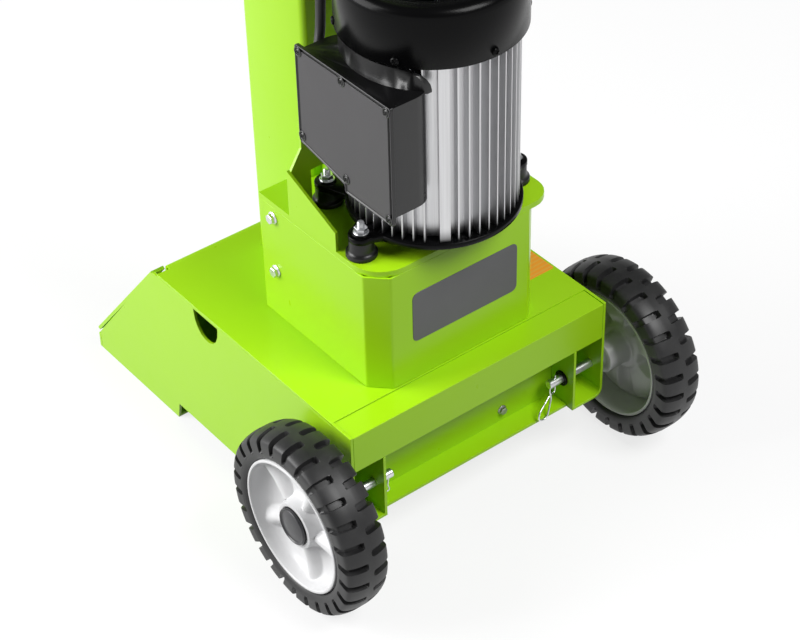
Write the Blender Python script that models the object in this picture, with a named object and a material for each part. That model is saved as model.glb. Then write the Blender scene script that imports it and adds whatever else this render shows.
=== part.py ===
"""Vertical electric log splitter: a welded base on two wheels, a square column with
a hydraulic ram inside, a wedge on the ram's head, two control arms and an upright motor.

The frame: +Z is up, the logs stand on the -Y side, the motor and the wheels are on the
+Y side, and the origin lies on the floor under the middle of the machine.
"""

import math

import bmesh
import bpy
from mathutils import Matrix, Vector

MM = 0.001
GAP = 0.3 * MM            # air left between pieces that touch

# Base: sheet-metal box between two side plates, with a low platform in front for the log
BASE_WIDTH = 412 * MM
DECK_TOP = 238 * MM
SHEET = 4 * MM
REAR_Y = 250 * MM         # rear face of the cross beam
DECK_LENGTH = 431 * MM    # from the beam's rear face to the front edge of the deck
RAMP_RUN = 172 * MM       # from the deck's front edge out to the lip
LIP_HEIGHT = 34 * MM
PLATFORM_THICK = 8 * MM
FOOT_LENGTH = 201 * MM    # the stretch of the side plates that stands on the floor
FOOT_FLANGE = 22 * MM     # width of the flat feet turned in under the side plates
FOOT_RAISE = 27 * MM      # clearance under the rest of the side plates
RIM_WIDTH = 20 * MM       # flat bar along the sloping edges of the side plates
RIM_THICK = 5 * MM
HAND_HOLE_Y = -58 * MM
HAND_HOLE_WIDTH = 54 * MM
HAND_HOLE_DEPTH = 34 * MM
SPIKE_SIZE = 18 * MM
SPIKE_HEIGHT = 12 * MM
SPIKE_PITCH = 62 * MM

# Cross beam, axle brackets and rear plate
BEAM_DEPTH = 38 * MM
BEAM_HEIGHT = 57 * MM
BRACKET_WIDTH = 52 * MM
BRACKET_DEPTH = 96 * MM
BRACKET_BOTTOM = 82 * MM
BRACKET_CORNER = 12 * MM
CROSS_PLATE_SET_BACK = 42 * MM
CROSS_FLANGE = 30 * MM
DRAIN_X = -68 * MM
DRAIN_HEIGHT = 22 * MM     # above the cross plate's flange
DRAIN_SIZE = 9 * MM

# Wheels
TYRE_RADIUS = 125 * MM
TYRE_WIDTH = 62 * MM
RIM_RADIUS = 91 * MM
TREAD_DEPTH = 7 * MM
TREAD_LUGS = 26
HUB_RADIUS = 31 * MM
CAP_RADIUS = 25 * MM
AXLE_RADIUS = 6.2 * MM
AXLE_Y = 228 * MM
WHEEL_STAND_OFF = 20 * MM  # from the bracket to the inner side of the tyre
WHEEL_SPOKES = 5
SPOKE_PHASE = -4           # degrees, the first spoke measured from +Y

# Column, with the ram's square tube inside it
COLUMN_WIDTH = 128 * MM
COLUMN_DEPTH = 130 * MM
COLUMN_WALL = 6 * MM
COLUMN_CORNER = 9 * MM
COLUMN_Y = -72 * MM
COLUMN_ABOVE_ARMS = 76 * MM
RAM_SIZE = 100 * MM
RAM_WALL = 6 * MM
RAM_CORNER = 7 * MM
HEAD_REST = 70 * MM         # the head's top above the column with the ram down
RAM_STROKE = 480 * MM
RAM_LENGTH = 800 * MM
GUIDE_HEIGHT = 70 * MM
BARREL_RADIUS = 35 * MM
BARREL_FOOT = 150 * MM
BARREL_WALL = 6 * MM
BARREL_FLOOR = 18 * MM
GLAND_LENGTH = 26 * MM
PISTON_LENGTH = 34 * MM
PISTON_REST = 14 * MM      # from the piston to the gland with the ram up
PORT_BOSS_END = 44 * MM    # from the barrel's axis
ROD_RADIUS = 18 * MM
ROD_BOSS_DEPTH = 26 * MM   # socket under the head that takes the rod's end
END_CLEARANCE = 4 * MM     # between that socket and the barrel with the ram down

# Head and wedge
HEAD_THICK = 16 * MM
WEDGE_DROP = 436 * MM      # from the head's top down to the cutting edge
WEDGE_HEIGHT = 150 * MM
WEDGE_LENGTH = 130 * MM
WEDGE_THICK = 46 * MM
HANGER_THICK = 14 * MM
HANGER_WIDTH = 96 * MM
HANGER_GAP = 5 * MM        # between the column's front and the hanger

# Pump housing, motor shelf
HOUSING_WIDTH = 264 * MM
HOUSING_FRONT = -24 * MM
HOUSING_REAR = 210 * MM
HOUSING_CHAMFER = 24 * MM
HOUSING_SHEET = 3 * MM
SHELF_BOTTOM = 409 * MM
SHELF_THICK = 8 * MM
SHELF_OVERHANG = 16 * MM   # on the side away from the terminal box
SHELF_CORNER = 44 * MM
GUSSET_FRONT = 40 * MM
GUSSET_LENGTH = 95 * MM
GUSSET_FRONT_HEIGHT = 66 * MM
GUSSET_REAR_HEIGHT = 27 * MM
BACK_PLATE_HEIGHT = 130 * MM
BACK_PLATE_TAPER = 20 * MM
COVER_BOLT_Y = 4 * MM

# Motor
MOTOR_X = -8 * MM
MOTOR_Y = 148 * MM
MOUNT_RADIUS = 19.5 * MM
MOUNT_RING = 6 * MM        # height of the buffer's foot ring
MOUNT_WAIST = 15.5 * MM
MOUNT_HEIGHT = 23 * MM
STUD_RADIUS = 4 * MM
MOUNT_REAR_SPACING = 238 * MM
MOUNT_FRONT_SPACING = 170 * MM
MOUNT_REAR_Y = 10 * MM     # ahead of and behind the motor's axis
MOUNT_FRONT_Y = -102 * MM
FLANGE_RADIUS = 108 * MM
FLANGE_THICK = 8 * MM
LUG_RADIUS = 16 * MM
FIN_RADIUS = 103.5 * MM
FIN_DEPTH = 13 * MM
FIN_THICK = 3.4 * MM
FIN_COUNT = 48
BODY_TOP = 700 * MM
BORE_RADIUS = 48 * MM
SHAFT_RADIUS = 12 * MM
FAN_BLADES = 6
FAN_RADIUS = 92 * MM
SHIELD_THICK = 8 * MM
FAN_HUB = 26 * MM
FAN_DISC = 2.5 * MM
FAN_LIFT = 12 * MM         # above the fins, over the end shield
FAN_BELOW_GRILLE = 20 * MM
COVER_RADIUS = 113 * MM
COVER_LAP = 7 * MM         # the fan cover reaches this far down over the fins
COVER_HEIGHT = 75 * MM
COVER_WALL = 2.4 * MM
GRILLE_SLOTS = 16

# Terminal and capacitor box on the motor
BOX_FACE = 131 * MM        # cover's outer face, from the motor's axis
BOX_DEPTH = 70 * MM
BOX_LENGTH = 170 * MM
BOX_HEIGHT = 153 * MM
BOX_DROP = 36 * MM         # below the top of the fins
BOX_WALL = 3 * MM
BOX_CORNER = 28 * MM       # the rounded rear corners beside the motor
SADDLE_HEIGHT = 26 * MM    # the saddle rises from the box and hugs the fins
SADDLE_THICK = 4 * MM
LID_THICK = 5 * MM
LID_STEP = 10 * MM         # the lid's front lower corner is cut back in a step and a slope
LID_SLOPE = 16 * MM
CAPACITOR_RADIUS = 15 * MM
CAPACITOR_SPARE = 36 * MM  # from the capacitor's top to the box's
CABLE_RADIUS = 6.2 * MM
GLAND_BEHIND_LID = 39 * MM
GLAND_HEIGHT = 86 * MM     # the elbow's centre above the box's foot
GLAND_REACH = 15 * MM      # from the box's front wall to the elbow's centre
GLAND_LONG = 18 * MM       # from the elbow's centre up to its mouth
ELBOW_RADIUS = 9.5 * MM
RELIEF_LONG = 14 * MM      # below the switch box
LEAD_STRAIGHT = 14 * MM    # the lead leaves both ends straight
LEAD_BOW = 2.5 * MM

# Switch box on the rear of the column
SWITCH_X = 57 * MM
SWITCH_WIDTH = 80 * MM
SWITCH_DEPTH = 54 * MM
SWITCH_CLEAR = 14 * MM     # above the level of the fan cover
SWITCH_HEIGHT = 78 * MM
BUTTON_RADIUS = 10 * MM
BUTTON_PITCH = 34 * MM
BUTTON_PROUD = 6 * MM

# Control arms and the valve linkage
ARM_PIVOT_X = 150 * MM
PIVOT_RADIUS = 8 * MM
ARM_PLATE = 6 * MM
ARM_PLATE_HEIGHT = 48 * MM
ARM_FRONT_Y = -112 * MM
ARM_REAR_Y = -20 * MM
ARM_TUBE = 11 * MM
CRANK_LENGTH = 60 * MM
CRANK_PIN = 4 * MM
LINK_Y = 19 * MM           # the valve rod and its rocker run behind the column
VALVE_ROD_RADIUS = 5 * MM
VALVE_TRAVEL = 14 * MM
GRIP_RADIUS = 15 * MM
GRIP_LENGTH = 105 * MM
SHAFT_PROUD = 16 * MM      # the pivot shaft stands out in front of its bracket
ARM_RUN = 150 * MM         # outward from the pivot to the arm's bend
ARM_FORWARD = 62 * MM
ARM_RISE = 26 * MM
GRIP_TURN = 22 * MM        # from the bend to where the grip's straight starts
PIVOT_BOSS = 8 * MM        # wider than the shaft
GUARD_HEIGHT = 58 * MM
GUARD_OVERRUN = 20 * MM
GUARD_RADIUS = 4 * MM
CLAW_SEAT_OUT = 50 * MM    # from the pivot to the claw's boss
CLAW_SEAT_FORWARD = 35 * MM
CLAW_BOSS = 9 * MM
CLAW_THICK = 6 * MM
CLAW_DROP = 16 * MM        # below the pivots
CLAW_TEETH = 4

# Stroke rod beside the ram, and the transport handle
STROKE_ROD_X = -92 * MM
STROKE_ROD_RADIUS = 6 * MM
STROKE_ROD_TAIL = 62 * MM   # below the arm bracket with the ram up
STOP_RING_HEIGHT = 20 * MM
STOP_RING_DROP = 40 * MM    # from the arm bracket down to the ring's lower face
HANDLE_DROP = 30 * MM      # below the column's top
HANDLE_REACH = 190 * MM
HANDLE_WIDTH = 300 * MM
HANDLE_TUBE = 12 * MM

# Hydraulics in the housing and the tank under the deck
TANK_BOTTOM = 62 * MM
TANK_FRONT = 45 * MM
FILLER_X = -166 * MM
FILLER_Y = 74 * MM
PIPE_RADIUS = 6 * MM
PIPE_X = -22 * MM
PIPE_LOW_Z = 185 * MM
VALVE_BOTTOM = 300 * MM
VALVE_TOP = 388 * MM
VALVE_HALF = 34 * MM
VALVE_DEPTH = 52 * MM
PORT_HEIGHT = 30 * MM      # above the valve block's foot
PUMP_HALF = 46 * MM
PUMP_FRONT = 50 * MM       # from the motor's axis
PUMP_REAR = 44 * MM
PUMP_NECK = 38 * MM
PUMP_RIM = 52 * MM
PUMP_BELOW_SHELF = 12 * MM

# Places that follow from the sizes above
HALF = BASE_WIDTH / 2
DECK_FRONT = REAR_Y - DECK_LENGTH
CROSS_PLATE_Y = REAR_Y - CROSS_PLATE_SET_BACK
DRAIN_Z = BRACKET_BOTTOM + DRAIN_HEIGHT
LIP_Y = DECK_FRONT - RAMP_RUN
PLATFORM_TOP = LIP_HEIGHT
DECK_UNDER = DECK_TOP - SHEET
BEAM_BOTTOM = DECK_TOP - BEAM_HEIGHT
BEAM_FRONT = REAR_Y - BEAM_DEPTH
COLUMN_FRONT = COLUMN_Y - COLUMN_DEPTH / 2
COLUMN_REAR = COLUMN_Y + COLUMN_DEPTH / 2
SHELF_TOP = SHELF_BOTTOM + SHELF_THICK
HOUSING_HALF = HOUSING_WIDTH / 2
MOUNT_TOP = SHELF_TOP + MOUNT_HEIGHT
COVER_BOTTOM = BODY_TOP - COVER_LAP
COVER_TOP = COVER_BOTTOM + COVER_HEIGHT
BOX_TOP = BODY_TOP - BOX_DROP
BOX_BOTTOM = BOX_TOP - BOX_HEIGHT
SWITCH_BOTTOM = COVER_TOP + SWITCH_CLEAR
ARM_PIVOT_Z = SWITCH_BOTTOM + SWITCH_HEIGHT + ARM_PLATE_HEIGHT / 2
CLAW_TOP = ARM_PIVOT_Z - CLAW_DROP
COLUMN_TOP = ARM_PIVOT_Z + COLUMN_ABOVE_ARMS
HANDLE_Z = COLUMN_TOP - HANDLE_DROP
RAM_TOP = COLUMN_TOP + RAM_STROKE + HEAD_REST
WEDGE_EDGE = RAM_TOP - WEDGE_DROP
FLANGE_TOP = MOUNT_TOP + GAP + FLANGE_THICK
BOX_X = MOTOR_X + BOX_FACE
WHEEL_X = HALF + WHEEL_STAND_OFF + TYRE_WIDTH / 2
HANGER_Y = COLUMN_FRONT - HANGER_GAP - HANGER_THICK
HEAD_BOTTOM = RAM_TOP - HEAD_THICK
SPIKE_ROW_Y = (LIP_Y + DECK_FRONT) / 2

MATERIALS = {
    "green_paint": ((0.30, 0.62, 0.03, 1), 0.0, 0.32),
    "black_plastic": ((0.020, 0.019, 0.021, 1), 0.0, 0.42),
    "grey_plastic": ((0.55, 0.55, 0.56, 1), 0.0, 0.38),
    "rubber": ((0.022, 0.022, 0.024, 1), 0.0, 0.72),
    "zinc": ((0.62, 0.63, 0.66, 1), 1.0, 0.28),
    "chrome": ((0.80, 0.81, 0.83, 1), 1.0, 0.10),
    "cast_aluminium": ((0.66, 0.67, 0.69, 1), 1.0, 0.40),
    "black_paint": ((0.030, 0.030, 0.032, 1), 0.0, 0.36),
    "steel": ((0.38, 0.38, 0.40, 1), 1.0, 0.45),
    "green_button": ((0.02, 0.38, 0.06, 1), 0.0, 0.35),
    "red_button": ((0.60, 0.02, 0.02, 1), 0.0, 0.35),
    "white_plastic": ((0.75, 0.74, 0.70, 1), 0.0, 0.45),
}


def clear_scene():
    for obj in list(bpy.data.objects):
        bpy.data.objects.remove(obj, do_unlink=True)


def material_for(name, finish):
    colour, metallic, roughness = MATERIALS[finish]
    material = bpy.data.materials.new(name + "_finish")
    material.use_nodes = True
    shader = material.node_tree.nodes["Principled BSDF"]
    shader.inputs["Base Color"].default_value = colour
    shader.inputs["Metallic"].default_value = metallic
    shader.inputs["Roughness"].default_value = roughness
    material.diffuse_color = colour
    return material


def named(obj, name, finish, smooth=False):
    """Give a finished shape its node name, its material and its shading."""
    obj.name = name
    obj.data.name = name
    obj.data.materials.clear()
    obj.data.materials.append(material_for(name, finish))
    if smooth:
        obj.data.shade_smooth()
        obj.data.set_sharp_from_angle(angle=math.radians(35))
    return obj


def hold(obj, carrier):
    """Parent a piece to the empty on its joint's axis, leaving it where it is."""
    obj.parent = carrier
    obj.matrix_parent_inverse = carrier.matrix_world.inverted()
    return obj


def pivot(name, place):
    empty = bpy.data.objects.new(name, None)
    empty.location = place
    empty.empty_display_size = 0.03
    bpy.context.scene.collection.objects.link(empty)
    bpy.context.view_layer.update()
    return empty


def mesh_object(verts, faces):
    mesh = bpy.data.meshes.new("shape")
    bm = bmesh.new()
    corners = [bm.verts.new(v) for v in verts]
    for face in faces:
        bm.faces.new([corners[i] for i in face])
    bmesh.ops.recalc_face_normals(bm, faces=bm.faces)
    bm.to_mesh(mesh)
    bm.free()
    obj = bpy.data.objects.new("shape", mesh)
    bpy.context.scene.collection.objects.link(obj)
    return obj


def oriented(plane, u, v, w):
    """A point given in a drawing plane, with w the distance out of that plane."""
    return {"XY": (u, v, w), "YZ": (w, u, v), "XZ": (u, w, v)}[plane]


def prism(outline, low, high, plane="XY"):
    """Extrude a closed outline from low to high along the third axis."""
    count = len(outline)
    verts = [oriented(plane, u, v, low) for u, v in outline]
    verts += [oriented(plane, u, v, high) for u, v in outline]
    sides = [(i, (i + 1) % count, count + (i + 1) % count, count + i) for i in range(count)]
    return mesh_object(verts, [tuple(range(count)), tuple(range(count, 2 * count))] + sides)


def block(x0, x1, y0, y1, z0, z1):
    return prism([(x0, y0), (x1, y0), (x1, y1), (x0, y1)], z0, z1)


def ring_prism(outer, inner, low, high, plane="XY"):
    """Extrude the strip between two outlines that have the same number of points."""
    count = len(outer)
    verts = [oriented(plane, u, v, w) for w in (low, high) for loop in (outer, inner) for u, v in loop]
    faces = []
    for i in range(count):
        j = (i + 1) % count
        out_low, in_low, out_high, in_high = i, count + i, 2 * count + i, 3 * count + i
        out_low_j, in_low_j, out_high_j, in_high_j = j, count + j, 2 * count + j, 3 * count + j
        faces += [(out_low, out_low_j, out_high_j, out_high), (in_low, in_high, in_high_j, in_low_j)]
        faces += [(out_low, in_low, in_low_j, out_low_j), (out_high, out_high_j, in_high_j, in_high)]
    return mesh_object(verts, faces)


def revolve(profile, steps, centre, axis="Z", closed=True):
    """Turn a profile of (radius, height) points about an axis through centre.

    A closed profile never meets the axis. An open one starts and ends on it."""
    verts, rows = [], []
    for radius, height in profile:
        if radius < 1e-7:
            rows.append([len(verts)])
            verts.append((0, 0, height))
            continue
        rows.append(list(range(len(verts), len(verts) + steps)))
        for i in range(steps):
            turn = 2 * math.pi * i / steps
            verts.append((radius * math.cos(turn), radius * math.sin(turn), height))
    pairs = list(zip(rows, rows[1:] + rows[:1])) if closed else list(zip(rows, rows[1:]))
    faces = []
    for low, high in pairs:
        for i in range(steps):
            j = (i + 1) % steps
            if len(low) == 1:
                faces.append((low[0], high[j], high[i]))
            elif len(high) == 1:
                faces.append((low[i], low[j], high[0]))
            else:
                faces.append((low[i], low[j], high[j], high[i]))
    turned = {"Z": Matrix.Identity(3), "X": Matrix(((0, 0, 1), (0, 1, 0), (-1, 0, 0))),
              "Y": Matrix(((1, 0, 0), (0, 0, 1), (0, -1, 0)))}[axis]
    place = Vector(centre)
    return mesh_object([turned @ Vector(v) + place for v in verts], faces)


def rod(centre, radius, low, high, axis="Z", steps=20):
    """A plain round bar whose ends lie low and high along the axis from centre."""
    return revolve([(0, low), (radius, low), (radius, high), (0, high)], steps, centre, axis, closed=False)


def collar(centre, outer, inner, low, high, axis="Z", steps=24):
    return revolve([(inner, low), (outer, low), (outer, high), (inner, high)], steps, centre, axis)


def bend_tube(points, radius, sides=10, steps=5, corner=0.03):
    """A bent tube: straight runs between the points, with rounded corners."""
    path = [Vector(points[0])]
    for before, corner_point, after in zip(points, points[1:], points[2:]):
        here = Vector(corner_point)
        back = Vector(before) - here
        ahead = Vector(after) - here
        reach = min(corner, back.length * 0.45, ahead.length * 0.45)
        start = here + back.normalized() * reach
        end = here + ahead.normalized() * reach
        for k in range(steps + 1):
            t = k / steps
            path.append(start * (1 - t) ** 2 + here * 2 * t * (1 - t) + end * t ** 2)
    path.append(Vector(points[-1]))
    return sweep(path, radius, sides)


def sweep(path, radius, sides=10):
    """A round bar along a path, its section carried along without twisting."""
    verts, faces = [], []
    tangent = (path[1] - path[0]).normalized()
    side = tangent.orthogonal().normalized()
    for k, point in enumerate(path):
        ahead = path[min(k + 1, len(path) - 1)] - path[max(k - 1, 0)]
        turn = tangent.rotation_difference(ahead.normalized())
        tangent = ahead.normalized()
        side = (turn @ side).normalized()
        across = tangent.cross(side)
        for i in range(sides):
            angle = 2 * math.pi * i / sides
            verts.append(point + side * radius * math.cos(angle) + across * radius * math.sin(angle))
    for k in range(len(path) - 1):
        for i in range(sides):
            j = (i + 1) % sides
            faces.append((k * sides + i, k * sides + j, (k + 1) * sides + j, (k + 1) * sides + i))
    last = (len(path) - 1) * sides
    faces += [tuple(range(sides)), tuple(range(last, last + sides))]
    return mesh_object(verts, faces)


def combine(target, tools, operation):
    """Join or cut with each tool in turn, then clear the tools away."""
    for tool in tools:
        modifier = target.modifiers.new("combine", "BOOLEAN")
        modifier.operation = operation
        modifier.solver = "EXACT"
        modifier.object = tool
        bpy.context.view_layer.update()
        scene_state = bpy.context.evaluated_depsgraph_get()
        result = bpy.data.meshes.new_from_object(target.evaluated_get(scene_state))
        target.modifiers.clear()
        target.data = result
        bpy.data.objects.remove(tool, do_unlink=True)
    return target


def fuse(target, *tools):
    return combine(target, tools, "UNION")


def cut(target, *tools):
    return combine(target, tools, "DIFFERENCE")


def gather(shapes):
    """Put several separate solids into one object, as for a ring of like cutters."""
    bm = bmesh.new()
    for shape in shapes:
        bm.from_mesh(shape.data)
    mesh = bpy.data.meshes.new("group")
    bm.to_mesh(mesh)
    bm.free()
    for shape in shapes:
        bpy.data.objects.remove(shape, do_unlink=True)
    obj = bpy.data.objects.new("group", mesh)
    bpy.context.scene.collection.objects.link(obj)
    return obj


def arc(centre, radius, start, end, steps):
    """Points on an arc, angles in degrees."""
    points = []
    for k in range(steps + 1):
        angle = math.radians(start + (end - start) * k / steps)
        points.append((centre[0] + radius * math.cos(angle), centre[1] + radius * math.sin(angle)))
    return points


def rounded_rectangle(x0, x1, y0, y1, radius, steps=4):
    outline = arc((x1 - radius, y1 - radius), radius, 0, 90, steps)
    outline += arc((x0 + radius, y1 - radius), radius, 90, 180, steps)
    outline += arc((x0 + radius, y0 + radius), radius, 180, 270, steps)
    outline += arc((x1 - radius, y0 + radius), radius, 270, 360, steps)
    return outline


def square_tube(width, depth, wall, corner, centre_y, low, high):
    outer = rounded_rectangle(-width / 2, width / 2, centre_y - depth / 2, centre_y + depth / 2, corner)
    inner = rounded_rectangle(-width / 2 + wall, width / 2 - wall, centre_y - depth / 2 + wall,
                              centre_y + depth / 2 - wall, max(corner - wall, 1 * MM))
    return ring_prism(outer, inner, low, high)


def flange_bolt(place, direction, size=8 * MM, length=10 * MM):
    """Hexagon bolt with a round flange under its head; direction points out of the head."""
    way = Vector(direction)
    outline = [(0, -length), (size / 2, -length), (size / 2, 0), (size * 1.08, 0), (size * 0.98, size * 0.22),
               (size * 0.80, size * 0.24)]
    shank = revolve(outline + [(0, size * 0.24)], 12, (0, 0, 0), "Z", closed=False)
    hexagon = [(size * 0.78 * math.cos(math.radians(60 * k)), size * 0.78 * math.sin(math.radians(60 * k)))
               for k in range(6)]
    bolt = fuse(shank, prism(hexagon, size * 0.1, size * 0.85))
    bolt.data.transform(Matrix.Translation(place) @ way.to_track_quat("Z", "Y").to_matrix().to_4x4())
    return bolt


def build_side_plate(side, name):
    """Side plate of the base: sloping front edge, hand hole, and a flat foot turned in."""
    outer = side * HALF
    inner = side * (HALF - SHEET)
    rear_low = BRACKET_BOTTOM + BRACKET_CORNER + GAP
    outline = [
        (LIP_Y + RIM_THICK + GAP, 0), (LIP_Y + FOOT_LENGTH, 0), (LIP_Y + FOOT_LENGTH + 5 * MM, FOOT_RAISE),
        (REAR_Y - BRACKET_DEPTH - 50 * MM, FOOT_RAISE), (REAR_Y - BRACKET_DEPTH, rear_low), (REAR_Y, rear_low),
        (REAR_Y, DECK_TOP), (BEAM_FRONT + GAP, DECK_TOP), (BEAM_FRONT + GAP, DECK_UNDER - GAP),
        (DECK_FRONT, DECK_UNDER - GAP), (LIP_Y + RIM_THICK + GAP, LIP_HEIGHT - RIM_THICK)]
    plate = prism(outline, min(outer, inner), max(outer, inner), "YZ")
    hole = [(HAND_HOLE_Y - HAND_HOLE_WIDTH / 2, DECK_UNDER - 2 * MM), (HAND_HOLE_Y + HAND_HOLE_WIDTH / 2,
                                                                    DECK_UNDER - 2 * MM)]
    hole += [(HAND_HOLE_Y + HAND_HOLE_WIDTH / 2 * math.cos(math.radians(a)),
              DECK_UNDER - 6 * MM - HAND_HOLE_DEPTH * math.sin(math.radians(a))) for a in range(0, 181, 20)]
    middle = (outer + inner) / 2
    plate = cut(plate, prism(hole, middle - 2 * SHEET, middle + 2 * SHEET, "YZ"))
    plate = cut(plate, rod((0, AXLE_Y, TYRE_RADIUS), AXLE_RADIUS + GAP, middle - 2 * SHEET, middle + 2 * SHEET, "X"))
    foot_in = side * (HALF - FOOT_FLANGE)
    foot = block(min(foot_in, middle), max(foot_in, middle), LIP_Y + RIM_THICK + GAP, LIP_Y + FOOT_LENGTH, 0, SHEET)
    slope = Vector((0, RAMP_RUN, DECK_TOP - LIP_HEIGHT)).normalized()
    normal = Vector((0, -slope.z, slope.y))
    edge = side * (HALF - RIM_WIDTH)
    foot_point = Vector((0, LIP_Y, LIP_HEIGHT))
    top_point = Vector((0, DECK_FRONT, DECK_TOP)) - slope * 6 * MM
    bar_outline = [(p.y, p.z) for p in (foot_point, top_point, top_point - normal * RIM_THICK,
                                        foot_point - normal * RIM_THICK)]
    bar = prism(bar_outline, min(edge, outer), max(edge, outer), "YZ")
    return named(fuse(plate, foot, bar), name, "green_paint")


def build_deck():
    """Deck and its front wall, one bent sheet, open where the column and pipes pass."""
    bend = 6 * MM
    outside = [(BEAM_FRONT, DECK_TOP)] + arc((DECK_FRONT + bend, DECK_TOP - bend), bend, 90, 180, 3)
    outside += [(DECK_FRONT, PLATFORM_TOP + GAP), (DECK_FRONT + SHEET, PLATFORM_TOP + GAP)]
    outside += arc((DECK_FRONT + bend, DECK_TOP - bend), bend - SHEET, 180, 90, 3) + [(BEAM_FRONT, DECK_UNDER)]
    front_half = HALF - RIM_WIDTH - GAP
    deck = prism(outside, -front_half, front_half, "YZ")
    wings = [block(side * (front_half - 1 * MM) if side > 0 else -HALF, HALF if side > 0 else -front_half + 1 * MM,
                   DECK_FRONT + 12 * MM, BEAM_FRONT, DECK_UNDER, DECK_TOP) for side in (1, -1)]
    deck = fuse(deck, *wings)
    opening = rounded_rectangle(-COLUMN_WIDTH / 2 - GAP, COLUMN_WIDTH / 2 + GAP, COLUMN_FRONT - GAP,
                                COLUMN_REAR + GAP, COLUMN_CORNER + GAP)
    pipe_hole = rod((PIPE_X, LINK_Y + 10 * MM, DECK_TOP), PIPE_RADIUS + 2 * MM, -0.02, 0.02)
    filler_hole = rod((FILLER_X, FILLER_Y, DECK_TOP), 12 * MM, -0.02, 0.02)
    deck = cut(deck, prism(opening, DECK_UNDER - 0.02, DECK_TOP + 0.02), pipe_hole, filler_hole)
    return named(deck, "deck_plate", "green_paint")


def build_base_plate():
    """Low platform for the log, its lip folded to the floor, with four-sided spikes."""
    inside = HALF - SHEET - GAP
    lip_inside = HALF - RIM_WIDTH - GAP
    front, shoulder, rear = LIP_Y + RIM_THICK / 2, LIP_Y + 12 * MM, REAR_Y - BRACKET_DEPTH - 60 * MM
    right_half = [(0, front), (lip_inside, front), (lip_inside, shoulder), (inside, shoulder), (inside, rear),
                  (0, rear)]
    plate = prism(right_half + [(-x, y) for x, y in right_half[-2:0:-1]], PLATFORM_TOP - PLATFORM_THICK,
                  PLATFORM_TOP)
    lip = block(-lip_inside, lip_inside, LIP_Y, LIP_Y + RIM_THICK, 0, PLATFORM_TOP)
    ends = [block(side * HALF if side < 0 else lip_inside - 1 * MM, -lip_inside + 1 * MM if side < 0 else HALF,
                  LIP_Y, LIP_Y + RIM_THICK, 0, LIP_HEIGHT - 2 * RIM_THICK) for side in (1, -1)]
    spikes = []
    for column in (-1, 0, 1):
        for row in (-0.5, 0.5):
            centre = (column * SPIKE_PITCH, SPIKE_ROW_Y + row * SPIKE_PITCH)
            half = SPIKE_SIZE / 2
            low = PLATFORM_TOP - 1 * MM
            corners = [(centre[0] + a * half, centre[1] + b * half, low) for a, b in
                       ((-1, -1), (1, -1), (1, 1), (-1, 1))]
            tip = (centre[0], centre[1], PLATFORM_TOP + SPIKE_HEIGHT)
            spikes.append(mesh_object(corners + [tip], [(0, 1, 2, 3), (0, 1, 4), (1, 2, 4), (2, 3, 4), (3, 0, 4)]))
    stand = collar((0, COLUMN_Y, 0), BARREL_RADIUS, BARREL_RADIUS - 8 * MM, PLATFORM_TOP - 1 * MM,
                   BARREL_FOOT - GAP, steps=20)
    plate = fuse(plate, lip, *ends, *spikes, stand)
    return named(plate, "base_plate", "green_paint")


def build_rear_frame():
    """Cross beam, the two axle brackets and the plate between them."""
    inside = HALF - SHEET - GAP
    outer = [(BEAM_FRONT + GAP, BEAM_BOTTOM), (REAR_Y, BEAM_BOTTOM), (REAR_Y, DECK_TOP - 1 * MM),
             (BEAM_FRONT + GAP, DECK_TOP - 1 * MM)]
    inner = [(BEAM_FRONT + SHEET, BEAM_BOTTOM + SHEET), (REAR_Y - SHEET, BEAM_BOTTOM + SHEET),
             (REAR_Y - SHEET, DECK_TOP - 1 * MM - SHEET), (BEAM_FRONT + SHEET, DECK_TOP - 1 * MM - SHEET)]
    named(ring_prism(outer, inner, -inside, inside, "YZ"), "rear_beam", "green_paint")

    low, high = BRACKET_BOTTOM, BEAM_BOTTOM - GAP
    bend = (HALF - BRACKET_CORNER, low + BRACKET_CORNER)
    wall = HALF - BRACKET_WIDTH
    path = [(wall, high), (wall, low)] + arc(bend, BRACKET_CORNER, -90, 0, 4)
    path += arc(bend, BRACKET_CORNER - SHEET, 0, -90, 4) + [(wall + SHEET, low + SHEET), (wall + SHEET, high)]
    for side, name in ((1, "axle_bracket_left"), (-1, "axle_bracket_right")):
        bracket = prism([(side * x, z) for x, z in path], REAR_Y - BRACKET_DEPTH, REAR_Y, "XZ")
        bore = rod((side * wall, AXLE_Y, TYRE_RADIUS), AXLE_RADIUS + GAP, -SHEET * 2, SHEET * 2, "X")
        named(cut(bracket, bore), name, "green_paint")

    plate_y = CROSS_PLATE_Y
    half = HALF - BRACKET_WIDTH - GAP
    low = BRACKET_BOTTOM
    outline = [(plate_y - SHEET, low), (plate_y + CROSS_FLANGE, low), (plate_y + CROSS_FLANGE, low + SHEET),
               (plate_y, low + SHEET), (plate_y, DECK_UNDER - GAP), (plate_y - SHEET, DECK_UNDER - GAP)]
    plate = prism(outline, -half, half, "YZ")
    plate = cut(plate, rod((DRAIN_X, 0, DRAIN_Z), DRAIN_SIZE / 2 + 2 * MM, plate_y - 0.02, plate_y + 0.02, "Y"))
    named(plate, "rear_cross_plate", "green_paint")


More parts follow.
